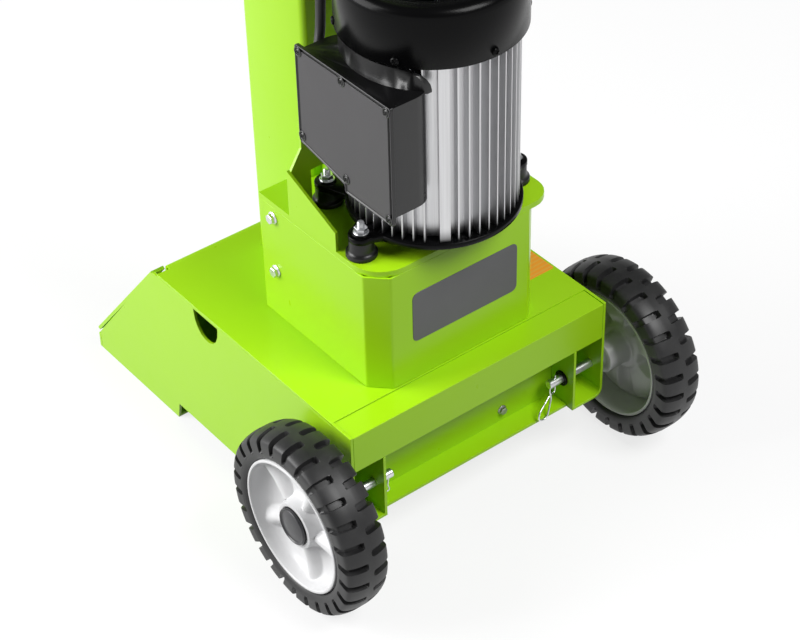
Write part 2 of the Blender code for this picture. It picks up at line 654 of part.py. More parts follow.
def build_column():
    """Square column welded into the base, with the frame that carries the pump cover."""
    column = square_tube(COLUMN_WIDTH, COLUMN_DEPTH, COLUMN_WALL, COLUMN_CORNER, COLUMN_Y,
                         PLATFORM_TOP + GAP, COLUMN_TOP)
    wall = HOUSING_HALF - HOUSING_SHEET - GAP
    frame_y = COLUMN_REAR + SHEET
    plate = block(-wall, wall, COLUMN_REAR - 1 * MM, frame_y, DECK_TOP + GAP, SHELF_BOTTOM - GAP)
    wings = [block(min(s * wall, s * (wall - SHEET)), max(s * wall, s * (wall - SHEET)), COLUMN_REAR - 1 * MM,
                   COVER_BOLT_Y + 16 * MM, DECK_TOP + GAP, SHELF_BOTTOM - GAP) for s in (1, -1)]
    column = fuse(column, plate, *wings)
    pipe_hole = rod((PIPE_X, COLUMN_REAR, PIPE_LOW_Z), PIPE_RADIUS + GAP, -0.02, 0.02, "Y")
    column = cut(column, pipe_hole)
    return named(column, "column", "green_paint")


def build_guide_collar():
    """Plastic slide collar between the column's mouth and the ram's tube."""
    wall = (COLUMN_WIDTH - RAM_SIZE) / 2 - COLUMN_WALL - 2 * GAP
    collar_width = RAM_SIZE + 2 * GAP + 2 * wall
    depth = collar_width + COLUMN_DEPTH - COLUMN_WIDTH
    inner = rounded_rectangle(-RAM_SIZE / 2 - GAP, RAM_SIZE / 2 + GAP, COLUMN_Y - RAM_SIZE / 2 - GAP,
                              COLUMN_Y + RAM_SIZE / 2 + GAP, RAM_CORNER)
    outer = rounded_rectangle(-collar_width / 2, collar_width / 2, COLUMN_Y - depth / 2, COLUMN_Y + depth / 2,
                              COLUMN_CORNER)
    ring = ring_prism(outer, inner, COLUMN_TOP - GUIDE_HEIGHT, COLUMN_TOP - 4 * MM)
    return named(ring, "guide_collar", "white_plastic")


def build_cylinder(ram):
    """Cylinder barrel standing in the column; the piston and its rod rise with the ram."""
    barrel_top = HEAD_BOTTOM - RAM_STROKE - ROD_BOSS_DEPTH - END_CLEARANCE
    bore = BARREL_RADIUS - BARREL_WALL
    floor = BARREL_FOOT + BARREL_FLOOR
    gland = ROD_RADIUS + GAP
    profile = [(0, BARREL_FOOT), (BARREL_RADIUS, BARREL_FOOT), (BARREL_RADIUS, barrel_top), (gland, barrel_top),
               (gland, barrel_top - GLAND_LENGTH), (bore, barrel_top - GLAND_LENGTH), (bore, floor), (0, floor)]
    barrel = revolve(profile, 20, (0, COLUMN_Y, 0), closed=False)
    boss = rod((PIPE_X, 0, PIPE_LOW_Z), PIPE_RADIUS + 4 * MM, COLUMN_Y + BARREL_RADIUS * 0.6,
               COLUMN_Y + PORT_BOSS_END, "Y", 16)
    barrel = fuse(barrel, boss)
    named(barrel, "cylinder_barrel", "steel", smooth=True)

    piston_top = barrel_top - GLAND_LENGTH - PISTON_REST
    piston = bore - GAP
    rod_end = HEAD_BOTTOM - ROD_BOSS_DEPTH / 2
    profile = [(0, piston_top - PISTON_LENGTH), (piston, piston_top - PISTON_LENGTH), (piston, piston_top),
               (ROD_RADIUS, piston_top), (ROD_RADIUS, rod_end), (0, rod_end)]
    hold(named(revolve(profile, 20, (0, COLUMN_Y, 0), closed=False), "piston_rod", "chrome", smooth=True), ram)


def build_ram(ram):
    """Ram: square tube, head plate over its top, and the hanger that holds the wedge."""
    tube = square_tube(RAM_SIZE, RAM_SIZE, RAM_WALL, RAM_CORNER, COLUMN_Y, RAM_TOP - RAM_LENGTH, HEAD_BOTTOM + 1 * MM)
    nose = HANGER_Y
    head_half = HANGER_WIDTH / 2
    head = [(-head_half, nose), (head_half, nose), (RAM_SIZE / 2 + 6 * MM, COLUMN_Y - RAM_SIZE / 2),
            (RAM_SIZE / 2 + 6 * MM, COLUMN_Y + RAM_SIZE / 2 + 6 * MM),
            (-RAM_SIZE / 2 - 6 * MM, COLUMN_Y + RAM_SIZE / 2 + 6 * MM),
            (-RAM_SIZE / 2 - 6 * MM, COLUMN_Y - RAM_SIZE / 2)]
    ear = block(STROKE_ROD_X - 14 * MM, -RAM_SIZE / 2, COLUMN_Y - 16 * MM, COLUMN_Y + 16 * MM, HEAD_BOTTOM, RAM_TOP)
    rod_boss = collar((0, COLUMN_Y, 0), ROD_RADIUS + 10 * MM, ROD_RADIUS + GAP, HEAD_BOTTOM - ROD_BOSS_DEPTH,
                      HEAD_BOTTOM + 1 * MM)
    hanger_low = WEDGE_EDGE + 12 * MM
    hanger = [(-head_half, RAM_TOP), (-head_half, hanger_low + 30 * MM), (-head_half + 20 * MM, hanger_low),
              (head_half - 20 * MM, hanger_low), (head_half, hanger_low + 30 * MM), (head_half, RAM_TOP)]
    gusset_x = head_half - 16 * MM
    rib_outline = [(HANGER_Y + HANGER_THICK - 1 * MM, HEAD_BOTTOM + 1 * MM),
                   (HANGER_Y + HANGER_THICK - 1 * MM, HEAD_BOTTOM - 22 * MM),
                   (HANGER_Y + HANGER_THICK + 18 * MM, HEAD_BOTTOM + 1 * MM)]
    ribs = [prism(rib_outline, s * gusset_x - 4 * MM, s * gusset_x + 4 * MM, "YZ") for s in (1, -1)]
    body = fuse(tube, prism(head, HEAD_BOTTOM, RAM_TOP), ear, rod_boss,
                prism(hanger, HANGER_Y, HANGER_Y + HANGER_THICK, "XZ"), *ribs)
    stroke_hole = rod((STROKE_ROD_X, COLUMN_Y, RAM_TOP), STROKE_ROD_RADIUS + GAP, -0.05, 0.05, steps=16)
    body = cut(body, stroke_hole)
    hold(named(body, "ram", "green_paint"), ram)


def build_wedge(ram):
    """Splitting wedge: a blade with hollow flanks and a shoulder that spreads the log."""
    root = HANGER_Y - GAP
    tip = root - WEDGE_LENGTH
    top = WEDGE_EDGE + WEDGE_HEIGHT
    half = WEDGE_THICK / 2
    section = [(0.6 * MM, WEDGE_EDGE), (4 * MM, WEDGE_EDGE + 14 * MM), (9 * MM, WEDGE_EDGE + 48 * MM),
               (half * 0.72, WEDGE_EDGE + WEDGE_HEIGHT * 0.56), (half, WEDGE_EDGE + WEDGE_HEIGHT * 0.75), (half, top)]
    outline = section + [(-x, z) for x, z in reversed(section)]
    blade = prism(outline, tip, root, "XZ")
    nose_cut = [(tip - 0.01, WEDGE_EDGE - 0.01), (tip + 8 * MM, WEDGE_EDGE - 0.01), (tip - 0.01, WEDGE_EDGE + 0.05)]
    blade = cut(blade, prism(nose_cut, -0.1, 0.1, "YZ"))
    slope = [(tip - 0.01, top - 34 * MM), (tip - 0.01, top + 0.01), (root - 40 * MM, top + 0.01)]
    blade = cut(blade, prism(slope, -0.1, 0.1, "YZ"))
    hold(named(blade, "splitting_wedge", "black_paint"), ram)


def build_stroke_rod(ram):
    """Rod that limits the return stroke, with a clamp collar and its thumb screw."""
    bracket_low = ARM_PIVOT_Z - ARM_PLATE_HEIGHT / 2
    top = RAM_TOP - 2 * MM
    low = bracket_low - STROKE_ROD_TAIL
    bar = rod((STROKE_ROD_X, COLUMN_Y, 0), STROKE_ROD_RADIUS, low, top, steps=12)
    stop = rod((STROKE_ROD_X, COLUMN_Y, 0), STROKE_ROD_RADIUS + 6 * MM, HEAD_BOTTOM - 10 * MM, HEAD_BOTTOM - GAP,
               steps=16)
    ring_z = bracket_low - STOP_RING_DROP
    ring = rod((STROKE_ROD_X, COLUMN_Y, 0), STROKE_ROD_RADIUS + 7 * MM, ring_z, ring_z + STOP_RING_HEIGHT, steps=16)
    reach = STROKE_ROD_RADIUS - 1 * MM
    screw = revolve([(0, reach), (3 * MM, reach), (3 * MM, reach + 14 * MM), (9 * MM, reach + 14 * MM),
                     (9 * MM, reach + 20 * MM), (0, reach + 20 * MM)], 12, (0, 0, 0), closed=False)
    screw.data.transform(Matrix.Translation((STROKE_ROD_X, COLUMN_Y, ring_z + STOP_RING_HEIGHT / 2)) @ Matrix.Rotation(
        math.radians(-90), 4, "Y"))
    return hold(named(fuse(bar, stop, ring, screw), "stroke_rod", "zinc", smooth=True), ram)


def build_housing():
    """Pump cover: a folded sheet with chamfered corners, open to the column."""
    def path(inset):
        wall = HOUSING_HALF - inset
        rear = HOUSING_REAR - inset
        corner = HOUSING_CHAMFER - inset * 0.586
        return [(wall, HOUSING_FRONT), (wall, rear - corner), (wall - corner, rear), (corner - wall, rear),
                (-wall, rear - corner), (-wall, HOUSING_FRONT)]
    sheet = prism(path(0) + path(HOUSING_SHEET)[::-1], DECK_TOP + GAP, SHELF_BOTTOM - GAP)
    named(sheet, "pump_cover", "green_paint")


def build_motor_bracket():
    """Shelf under the motor with its gussets and back plate, one weldment."""
    left = HOUSING_HALF
    right = -HOUSING_HALF - SHELF_OVERHANG
    rear = HOUSING_REAR
    notch_half = COLUMN_WIDTH / 2 + GAP
    notch_rear = COLUMN_REAR + GAP
    outline = [(left, HOUSING_FRONT)]
    outline += arc((left - SHELF_CORNER, rear - SHELF_CORNER), SHELF_CORNER, 0, 90, 6)
    outline += arc((right + SHELF_CORNER * 0.7, rear - SHELF_CORNER * 0.7), SHELF_CORNER * 0.7, 90, 180, 6)
    outline += [(right, GUSSET_FRONT), (-HOUSING_HALF, HOUSING_FRONT), (-notch_half, HOUSING_FRONT),
                (-notch_half, notch_rear), (notch_half, notch_rear), (notch_half, HOUSING_FRONT)]
    shelf = prism(outline, SHELF_BOTTOM, SHELF_TOP)
    gusset = [(GUSSET_FRONT, SHELF_TOP - 1 * MM), (GUSSET_FRONT + GUSSET_LENGTH, SHELF_TOP - 1 * MM),
              (GUSSET_FRONT + GUSSET_LENGTH, SHELF_TOP + GUSSET_REAR_HEIGHT), (GUSSET_FRONT,
                                                                           SHELF_TOP + GUSSET_FRONT_HEIGHT)]
    gussets = [prism(gusset, min(s * left, s * (left - SHEET)), max(s * left, s * (left - SHEET)), "YZ")
               for s in (1, -1)]
    low, shoulder = SHELF_TOP - 1 * MM, SHELF_TOP + GUSSET_FRONT_HEIGHT - 6 * MM
    top = SHELF_TOP + BACK_PLATE_HEIGHT
    half = left - 1 * MM
    panel = [(-half, low), (half, low), (half, shoulder), (half - BACK_PLATE_TAPER, shoulder + 32 * MM),
             (half - BACK_PLATE_TAPER, top), (-half + BACK_PLATE_TAPER, top),
             (-half + BACK_PLATE_TAPER, shoulder + 32 * MM), (-half, shoulder)]
    back = prism(panel, GUSSET_FRONT, GUSSET_FRONT + SHEET, "XZ")
    clear = LUG_RADIUS + 6 * MM
    window = block(MOTOR_X - MOUNT_FRONT_SPACING / 2 - clear, MOTOR_X + MOUNT_FRONT_SPACING / 2 + clear,
                   GUSSET_FRONT - 0.01, GUSSET_FRONT + 0.01, SHELF_TOP, FLANGE_TOP + 24 * MM)
    back = cut(back, window)
    stay = [(COLUMN_REAR + GAP, SHELF_TOP - 1 * MM), (GUSSET_FRONT + 1 * MM, SHELF_TOP - 1 * MM),
            (GUSSET_FRONT + 1 * MM, top - 20 * MM), (COLUMN_REAR + GAP, top - 40 * MM)]
    stays = [prism(stay, s * COLUMN_WIDTH * 0.36 - SHEET / 2, s * COLUMN_WIDTH * 0.36 + SHEET / 2, "YZ")
             for s in (1, -1)]
    bracket = fuse(shelf, *gussets, back, *stays)
    pump_hole = rod((MOTOR_X, MOTOR_Y, SHELF_TOP), 58 * MM, -0.03, 0.03, steps=24)
    valve_hole = rod((0, LINK_Y, SHELF_TOP), VALVE_ROD_RADIUS + 2 * MM, -0.03, 0.03, steps=16)
    stud_holes = [rod((x, y, SHELF_TOP), 4 * MM + GAP, -0.03, 0.03, steps=12) for x, y in mount_places()]
    return named(cut(bracket, pump_hole, valve_hole, *stud_holes), "motor_bracket", "green_paint")


def mount_places():
    rear, front = MOUNT_REAR_SPACING / 2, MOUNT_FRONT_SPACING / 2
    places = [(s * rear, MOUNT_REAR_Y) for s in (1, -1)] + [(s * front, MOUNT_FRONT_Y) for s in (1, -1)]
    return [(MOTOR_X + x, MOTOR_Y + y) for x, y in places]


def build_motor_mounts():
    """Rubber buffers under the motor's lugs, each with its bonded stud through the shelf."""
    for number, (x, y) in enumerate(mount_places(), 1):
        low, high = SHELF_TOP + GAP, MOUNT_TOP
        profile = [(0, SHELF_BOTTOM + 1 * MM), (STUD_RADIUS, SHELF_BOTTOM + 1 * MM), (STUD_RADIUS, low),
                   (MOUNT_RADIUS, low), (MOUNT_RADIUS, low + MOUNT_RING), (MOUNT_WAIST, low + 1.6 * MOUNT_RING),
                   (MOUNT_WAIST, high), (STUD_RADIUS, high),
                   (STUD_RADIUS, FLANGE_TOP + 14 * MM), (0, FLANGE_TOP + 14 * MM)]
        mount = revolve(profile, 14, (x, y, 0), closed=False)
        named(mount, f"motor_mount_{number}", "rubber", smooth=True)


def build_motor_flange():
    """Round base flange of the motor with a lug out to each mount."""
    low, high = MOUNT_TOP + GAP, FLANGE_TOP
    flange = collar((MOTOR_X, MOTOR_Y, 0), FLANGE_RADIUS, 40 * MM, low, high, steps=28)
    for x, y in mount_places():
        away = Vector((x - MOTOR_X, y - MOTOR_Y, 0))
        reach = away.length
        outline = arc((reach, 0), LUG_RADIUS, -80, 80, 5)
        inner_half = LUG_RADIUS * 2
        outline += [(FLANGE_RADIUS * 0.8, inner_half), (FLANGE_RADIUS * 0.8, -inner_half)]
        lug = prism(outline, low, high)
        lug.data.transform(Matrix.Translation((MOTOR_X, MOTOR_Y, 0)) @ Matrix.Rotation(
            math.atan2(away.y, away.x), 4, "Z"))
        flange = fuse(flange, lug)
    holes = [rod((x, y, 0), 4 * MM + GAP, low - 0.01, high + 0.01, steps=12) for x, y in mount_places()]
    return named(cut(flange, *holes), "motor_flange", "black_paint", smooth=True)


def build_motor_body():
    """Extruded aluminium stator housing: straight fins round a plain bore."""
    outline = []
    root = FIN_RADIUS - FIN_DEPTH
    step = 2 * math.pi / FIN_COUNT
    half_root = FIN_THICK * 0.62 / root
    half_tip = FIN_THICK * 0.42 / FIN_RADIUS
    for k in range(FIN_COUNT):
        middle = k * step
        for radius, angle in ((root, middle - half_root), (FIN_RADIUS, middle - half_tip),
                              (FIN_RADIUS, middle + half_tip), (root, middle + half_root)):
            outline.append((MOTOR_X + radius * math.cos(angle), MOTOR_Y + radius * math.sin(angle)))
    body = prism(outline, FLANGE_TOP + GAP, BODY_TOP)
    bore = rod((MOTOR_X, MOTOR_Y, 0), BORE_RADIUS, FLANGE_TOP - 0.01, BODY_TOP + 0.01, steps=24)
    return named(cut(body, bore), "motor_body", "cast_aluminium")


def build_rotor(rotor):
    """Rotor and shaft, down to the pump's coupling and up to the cooling fan."""
    pump_top = SHELF_BOTTOM - 6 * MM
    profile = [(0, pump_top), (9 * MM, pump_top), (9 * MM, MOUNT_TOP), (SHAFT_RADIUS, MOUNT_TOP),
               (SHAFT_RADIUS, FLANGE_TOP + 40 * MM), (BORE_RADIUS - 1 * MM, FLANGE_TOP + 40 * MM),
               (BORE_RADIUS - 1 * MM, BODY_TOP - 60 * MM), (SHAFT_RADIUS, BODY_TOP - 60 * MM),
               (SHAFT_RADIUS, COVER_TOP - 1.3 * FAN_BELOW_GRILLE), (0, COVER_TOP - 1.3 * FAN_BELOW_GRILLE)]
    hold(named(revolve(profile, 16, (MOTOR_X, MOTOR_Y, 0), closed=False), "motor_rotor", "steel", smooth=True), rotor)

    low, high = BODY_TOP + FAN_LIFT, COVER_TOP - FAN_BELOW_GRILLE
    hub = collar((MOTOR_X, MOTOR_Y, 0), FAN_HUB, SHAFT_RADIUS + GAP, low, high - FAN_HUB * 0.3, steps=16)
    disc = collar((MOTOR_X, MOTOR_Y, 0), FAN_RADIUS, FAN_HUB - 1 * MM, low, low + FAN_DISC, steps=24)
    blades = []
    for k in range(FAN_BLADES):
        blade = block(FAN_HUB - 2 * MM, FAN_RADIUS - 2 * MM, -FAN_DISC / 2, FAN_DISC / 2, low + FAN_DISC / 2, high)
        blade.data.transform(Matrix.Translation((MOTOR_X, MOTOR_Y, 0)) @ Matrix.Rotation(
            2 * math.pi * k / FAN_BLADES, 4, "Z"))
        blades.append(blade)
    hold(named(fuse(hub, disc, *blades), "cooling_fan", "black_plastic"), rotor)


def build_end_shield():
    """Upper end shield of the motor, which carries the top bearing and the fan cover."""
    rim = COVER_RADIUS - COVER_WALL - GAP
    bearing = SHAFT_RADIUS + GAP
    low = BODY_TOP + GAP
    profile = [(bearing, low - 14 * MM), (BORE_RADIUS - 2 * MM, low - 14 * MM), (BORE_RADIUS - 2 * MM, low),
               (rim, low), (rim, low + SHIELD_THICK), (FAN_HUB, low + SHIELD_THICK), (bearing, low + SHIELD_THICK + 1 * MM)]
    named(revolve(profile, 28, (MOTOR_X, MOTOR_Y, 0)), "motor_end_shield", "cast_aluminium", smooth=True)


def build_fan_cover():
    """Fan cover: a drawn steel cap with a grille of radial slots over the fan."""
    wall = COVER_WALL
    shoulder = 12 * MM
    top = COVER_TOP
    bend = (COVER_RADIUS - shoulder, top - shoulder)
    profile = [(0, top)] + arc(bend, shoulder, 90, 0, 3)
    profile += [(COVER_RADIUS, COVER_BOTTOM), (COVER_RADIUS - wall, COVER_BOTTOM)]
    profile += arc(bend, shoulder - wall, 0, 90, 3) + [(0, top - wall)]
    cap = revolve(profile, 28, (MOTOR_X, MOTOR_Y, 0), closed=False)
    slots = []
    for k in range(GRILLE_SLOTS):
        slot = prism([(46 * MM, -3 * MM), (90 * MM, -4.5 * MM), (90 * MM, 4.5 * MM), (46 * MM, 3 * MM)],
                     top - 0.01, top + 0.01)
        slot.data.transform(Matrix.Translation((MOTOR_X, MOTOR_Y, 0)) @ Matrix.Rotation(
            2 * math.pi * k / GRILLE_SLOTS, 4, "Z"))
        slots.append(slot)
    cap = cut(cap, gather(slots))
    named(cap, "fan_cover", "black_paint", smooth=True)


def lid_outline():
    """The lid seen from its side, with the front lower corner cut back."""
    front, rear = MOTOR_Y - BOX_LENGTH / 2, MOTOR_Y + BOX_LENGTH / 2
    return [(front, BOX_TOP), (front, BOX_BOTTOM + LID_STEP + LID_SLOPE), (MOTOR_Y, BOX_BOTTOM + LID_STEP),
            (MOTOR_Y, BOX_BOTTOM), (rear, BOX_BOTTOM), (rear, BOX_TOP)]


def build_terminal_box():
    """Box for the terminals and the run capacitor: a moulded shell on a saddle, and a screwed lid."""
    lid_face = BOX_X
    lid_back = BOX_X - LID_THICK
    named(prism(lid_outline(), lid_back, lid_face, "YZ"), "terminal_box_lid", "black_plastic")

    back = BOX_X - BOX_DEPTH
    front, rear = MOTOR_Y - BOX_LENGTH / 2 + 2 * MM, MOTOR_Y + BOX_LENGTH / 2 - 2 * MM
    rear_corner = arc((back + BOX_CORNER, rear - BOX_CORNER), BOX_CORNER, 90, 180, 6)
    front_corner = arc((back + BOX_CORNER, front + BOX_CORNER), BOX_CORNER, 180, 270, 6)
    outline = rear_corner + front_corner + [(lid_back - GAP, front), (lid_back - GAP, rear)]
    box = prism(outline, BOX_BOTTOM + LID_STEP + LID_SLOPE, BOX_TOP - 2 * MM)
    lower = rear_corner + [(back, MOTOR_Y), (lid_back - GAP, MOTOR_Y), (lid_back - GAP, rear)]
    box = fuse(box, prism(lower, BOX_BOTTOM + 2 * MM, BOX_BOTTOM + LID_STEP + LID_SLOPE + 1 * MM))
    inside_front, inside_rear = front + BOX_WALL, rear - BOX_WALL
    inside_back = back + BOX_WALL
    corner = [(BOX_X, inside_rear)]
    corner += arc((back + BOX_CORNER, rear - BOX_CORNER), BOX_CORNER - BOX_WALL, 90, 180, 6)
    front_inner = arc((back + BOX_CORNER, front + BOX_CORNER), BOX_CORNER - BOX_WALL, 180, 270, 6)
    ledge = BOX_BOTTOM + LID_STEP + LID_SLOPE + BOX_WALL
    floor = BOX_BOTTOM + 2 * MM + BOX_WALL
    cavity = prism(corner + front_inner + [(BOX_X, inside_front)], ledge, BOX_TOP - 2 * MM - BOX_WALL)
    well = prism(corner + [(inside_back, MOTOR_Y + BOX_WALL), (BOX_X, MOTOR_Y + BOX_WALL)], floor, ledge + 1 * MM)
    skin_radius = FIN_RADIUS + 2 * GAP + BOX_WALL
    skin = rod((MOTOR_X, MOTOR_Y, 0), skin_radius, BOX_BOTTOM - 0.02, BOX_TOP + 0.02, steps=64)
    hug_radius = FIN_RADIUS + 2 * GAP
    body_space = rod((MOTOR_X, MOTOR_Y, 0), hug_radius, BOX_BOTTOM - 0.02, BOX_TOP + SADDLE_HEIGHT + 0.01, steps=64)
    saddle_low, saddle_high = BOX_TOP - 2 * MM - BOX_WALL, BOX_TOP - 2 * MM + SADDLE_HEIGHT
    saddle = arc((rear - BOX_CORNER, saddle_high - SADDLE_HEIGHT), SADDLE_HEIGHT, 0, 90, 6)
    saddle += arc((front + BOX_CORNER, saddle_high - SADDLE_HEIGHT), SADDLE_HEIGHT, 90, 180, 6)
    saddle += [(front + BOX_CORNER - SADDLE_HEIGHT, saddle_low), (rear - BOX_CORNER + SADDLE_HEIGHT, saddle_low)]
    saddle = prism(saddle, back, BOX_X, "YZ")
    hug = rod((MOTOR_X, MOTOR_Y, 0), hug_radius + SADDLE_THICK, saddle_low - 0.01, saddle_high + 0.01, steps=64)
    saddle = combine(saddle, [hug], "INTERSECT")
    box = cut(fuse(box, saddle, cable_gland()), body_space, cut(fuse(cavity, well), skin))
    named(box, "terminal_box", "black_plastic")

    radius = CAPACITOR_RADIUS
    cap_y = inside_rear - radius - GAP
    cap_x = MOTOR_X + math.sqrt((skin_radius + radius + GAP) ** 2 - (cap_y - MOTOR_Y) ** 2)
    can = rod((cap_x, cap_y, 0), radius, floor + GAP, BOX_TOP - CAPACITOR_SPARE, steps=16)
    named(can, "run_capacitor", "white_plastic", smooth=True)


def elbow_centre():
    """Where the elbow gland's two arms cross, ahead of the terminal box."""
    front = MOTOR_Y - BOX_LENGTH / 2 + 2 * MM
    return Vector((BOX_X - GLAND_BEHIND_LID, front - GLAND_REACH, BOX_BOTTOM + GLAND_HEIGHT))


def cable_route():
    """Centre line of the motor's lead, from the box's elbow gland up to the switch box."""
    start = elbow_centre() + Vector((0, 0, GLAND_LONG + GAP))
    end = Vector((SWITCH_X, COLUMN_REAR + SWITCH_DEPTH * 0.62, SWITCH_BOTTOM - RELIEF_LONG - GAP))
    leave = start + Vector((0, 0, LEAD_STRAIGHT))
    arrive = end - Vector((0, 0, LEAD_STRAIGHT))
    low_bow = leave.lerp(arrive, 0.3) - Vector((LEAD_BOW, 0, 0))
    high_bow = leave.lerp(arrive, 0.7) - Vector((LEAD_BOW / 2, 0, 0))
    return [start, leave, low_bow, high_bow, arrive, end]


def smooth_route(points, spacing):
    """Points at about one spacing on a smooth curve through the given points."""
    padded = [points[0] * 2 - points[1]] + points + [points[-1] * 2 - points[-2]]
    route = []
    for p0, p1, p2, p3 in zip(padded, padded[1:], padded[2:], padded[3:]):
        count = max(1, round((p2 - p1).length / spacing))
        for k in range(count):
            t = k / count
            route.append(0.5 * (2 * p1 + (p2 - p0) * t + (2 * p0 - 5 * p1 + 4 * p2 - p3) * t ** 2
                                + (3 * p1 - p0 - 3 * p2 + p3) * t ** 3))
    return route + [points[-1]]


def build_motor_lead():
    """Lead held between the terminal box and the switch box."""
    points = cable_route()
    route = smooth_route(points, 2.4 * 2 * CABLE_RADIUS)
    curve = bpy.data.curves.new("motor_lead", "CURVE")
    curve.dimensions = "3D"
    curve.bevel_depth = CABLE_RADIUS
    curve.bevel_resolution = 2
    curve.use_fill_caps = True
    spline = curve.splines.new("POLY")
    spline.points.add(len(route) - 1)
    for point, place in zip(spline.points, route):
        point.co = (*place, 1)
    lead = bpy.data.objects.new("motor_lead", curve)
    lead.data.materials.append(material_for("motor_lead", "rubber"))
    bpy.context.scene.collection.objects.link(lead)


def cable_gland():
    """Elbow gland on the terminal box's front wall: it turns the lead upwards."""
    centre = elbow_centre()
    nut = ELBOW_RADIUS + 1.5 * MM
    mouth = CABLE_RADIUS + 2 * MM
    arm = rod(centre, ELBOW_RADIUS, 0, GLAND_REACH + BOX_WALL / 2, "Y", 16)
    profile = [(0, -ELBOW_RADIUS * 0.8), (ELBOW_RADIUS * 0.6, -ELBOW_RADIUS * 0.8), (ELBOW_RADIUS, -ELBOW_RADIUS * 0.3),
               (ELBOW_RADIUS, GLAND_LONG * 0.4), (nut, GLAND_LONG * 0.45), (nut, GLAND_LONG * 0.85),
               (mouth, GLAND_LONG), (0, GLAND_LONG)]
    return fuse(arm, revolve(profile, 16, centre, closed=False))


def build_switch_box(start_carrier, stop_carrier):
    """Switch box with its two push buttons and the plug inlet."""
    x0, x1 = SWITCH_X - SWITCH_WIDTH / 2, SWITCH_X + SWITCH_WIDTH / 2
    y0, y1 = COLUMN_REAR + GAP, COLUMN_REAR + SWITCH_DEPTH
    z0, z1 = SWITCH_BOTTOM, SWITCH_BOTTOM + SWITCH_HEIGHT
    box = prism(rounded_rectangle(x0, x1, z0, z1, 8 * MM, 3), y0, y1, "XZ")
    mid_z = (z0 + z1) / 2
    wells = [rod((SWITCH_X + s * BUTTON_PITCH / 2, 0, mid_z), BUTTON_RADIUS + GAP, y1 - 16 * MM, y1 + 0.01, "Y", 20)
             for s in (1, -1)]
    bezels = [rod((SWITCH_X + s * BUTTON_PITCH / 2, 0, mid_z), BUTTON_RADIUS + 4 * MM, y1 - 2 * MM, y1 + 2 * MM,
                  "Y", 20) for s in (1, -1)]
    relief = rod((cable_route()[-1].x, cable_route()[-1].y, SWITCH_BOTTOM), CABLE_RADIUS + 3.8 * MM, -RELIEF_LONG,
                 2 * MM, steps=12)
    box = cut(fuse(box, relief, *bezels), *wells)
    named(box, "switch_box", "black_plastic")
    for side, name, finish, carrier in ((1, "start_button", "green_button", start_carrier),
                                        (-1, "stop_button", "red_button", stop_carrier)):
        base = y1 - 9 * MM
        crest = y1 + 2 * MM + BUTTON_PROUD
        profile = [(0, base), (BUTTON_RADIUS, base), (BUTTON_RADIUS, crest - 1.5 * MM),
                   (BUTTON_RADIUS - 2 * MM, crest), (0, crest)]
        button = revolve(profile, 20, (SWITCH_X + side * BUTTON_PITCH / 2, 0, mid_z), "Y", closed=False)
        hold(named(button, name, finish, smooth=True), carrier)

    face = x1 + GAP
    centre = (0, (y0 + y1) / 2, mid_z)
    shroud = revolve([(0, face), (21 * MM, face), (21 * MM, face + 30 * MM), (18 * MM, face + 30 * MM),
                      (18 * MM, face + 6 * MM), (0, face + 6 * MM)], 20, centre, "X", closed=False)
    pins = [rod((0, centre[1] + 9 * MM * math.cos(math.radians(a)), centre[2] + 9 * MM * math.sin(math.radians(a))),
                2.4 * MM, face + 4 * MM, face + 24 * MM, "X", 6) for a in (90, 210, 330)]
    named(fuse(shroud, *pins), "power_inlet", "black_plastic")


def build_arm_brackets():
    """Two open brackets welded to the column, each carrying one control arm's pivot."""
    low, high = ARM_PIVOT_Z - ARM_PLATE_HEIGHT / 2, ARM_PIVOT_Z + ARM_PLATE_HEIGHT / 2
    for s in (1, -1):
        inner = COLUMN_WIDTH / 2 + GAP
        tip = ARM_PIVOT_X + 18 * MM
        outline = [(s * inner, low), (s * (tip - 16 * MM), low), (s * tip, low + 16 * MM), (s * tip, high - 12 * MM),
                   (s * (tip - 12 * MM), high), (s * inner, high)]
        front = prism(outline, ARM_FRONT_Y, ARM_FRONT_Y + ARM_PLATE, "XZ")
        rear = prism(outline, ARM_REAR_Y - ARM_PLATE, ARM_REAR_Y, "XZ")
        web = block(min(s * inner, s * (tip - 18 * MM)), max(s * inner, s * (tip - 18 * MM)), ARM_FRONT_Y,
                    ARM_REAR_Y, low, low + ARM_PLATE)
        seat = block(min(s * inner, s * (inner + ARM_PLATE)), max(s * inner, s * (inner + ARM_PLATE)), ARM_FRONT_Y,
                     ARM_REAR_Y, low, high)
        bracket = fuse(front, rear, web, seat)
        bore = rod((s * ARM_PIVOT_X, 0, ARM_PIVOT_Z), PIVOT_RADIUS + GAP, ARM_FRONT_Y - 0.01, ARM_REAR_Y + 0.01,
                   "Y", 12)
        bracket = cut(bracket, bore)
        if s < 0:
            eye = rod((STROKE_ROD_X, COLUMN_Y, low), STROKE_ROD_RADIUS + 1 * MM, -0.02, 0.02, steps=12)
            bracket = cut(bracket, eye)
        named(bracket, "arm_bracket_left" if s > 0 else "arm_bracket_right", "green_paint")


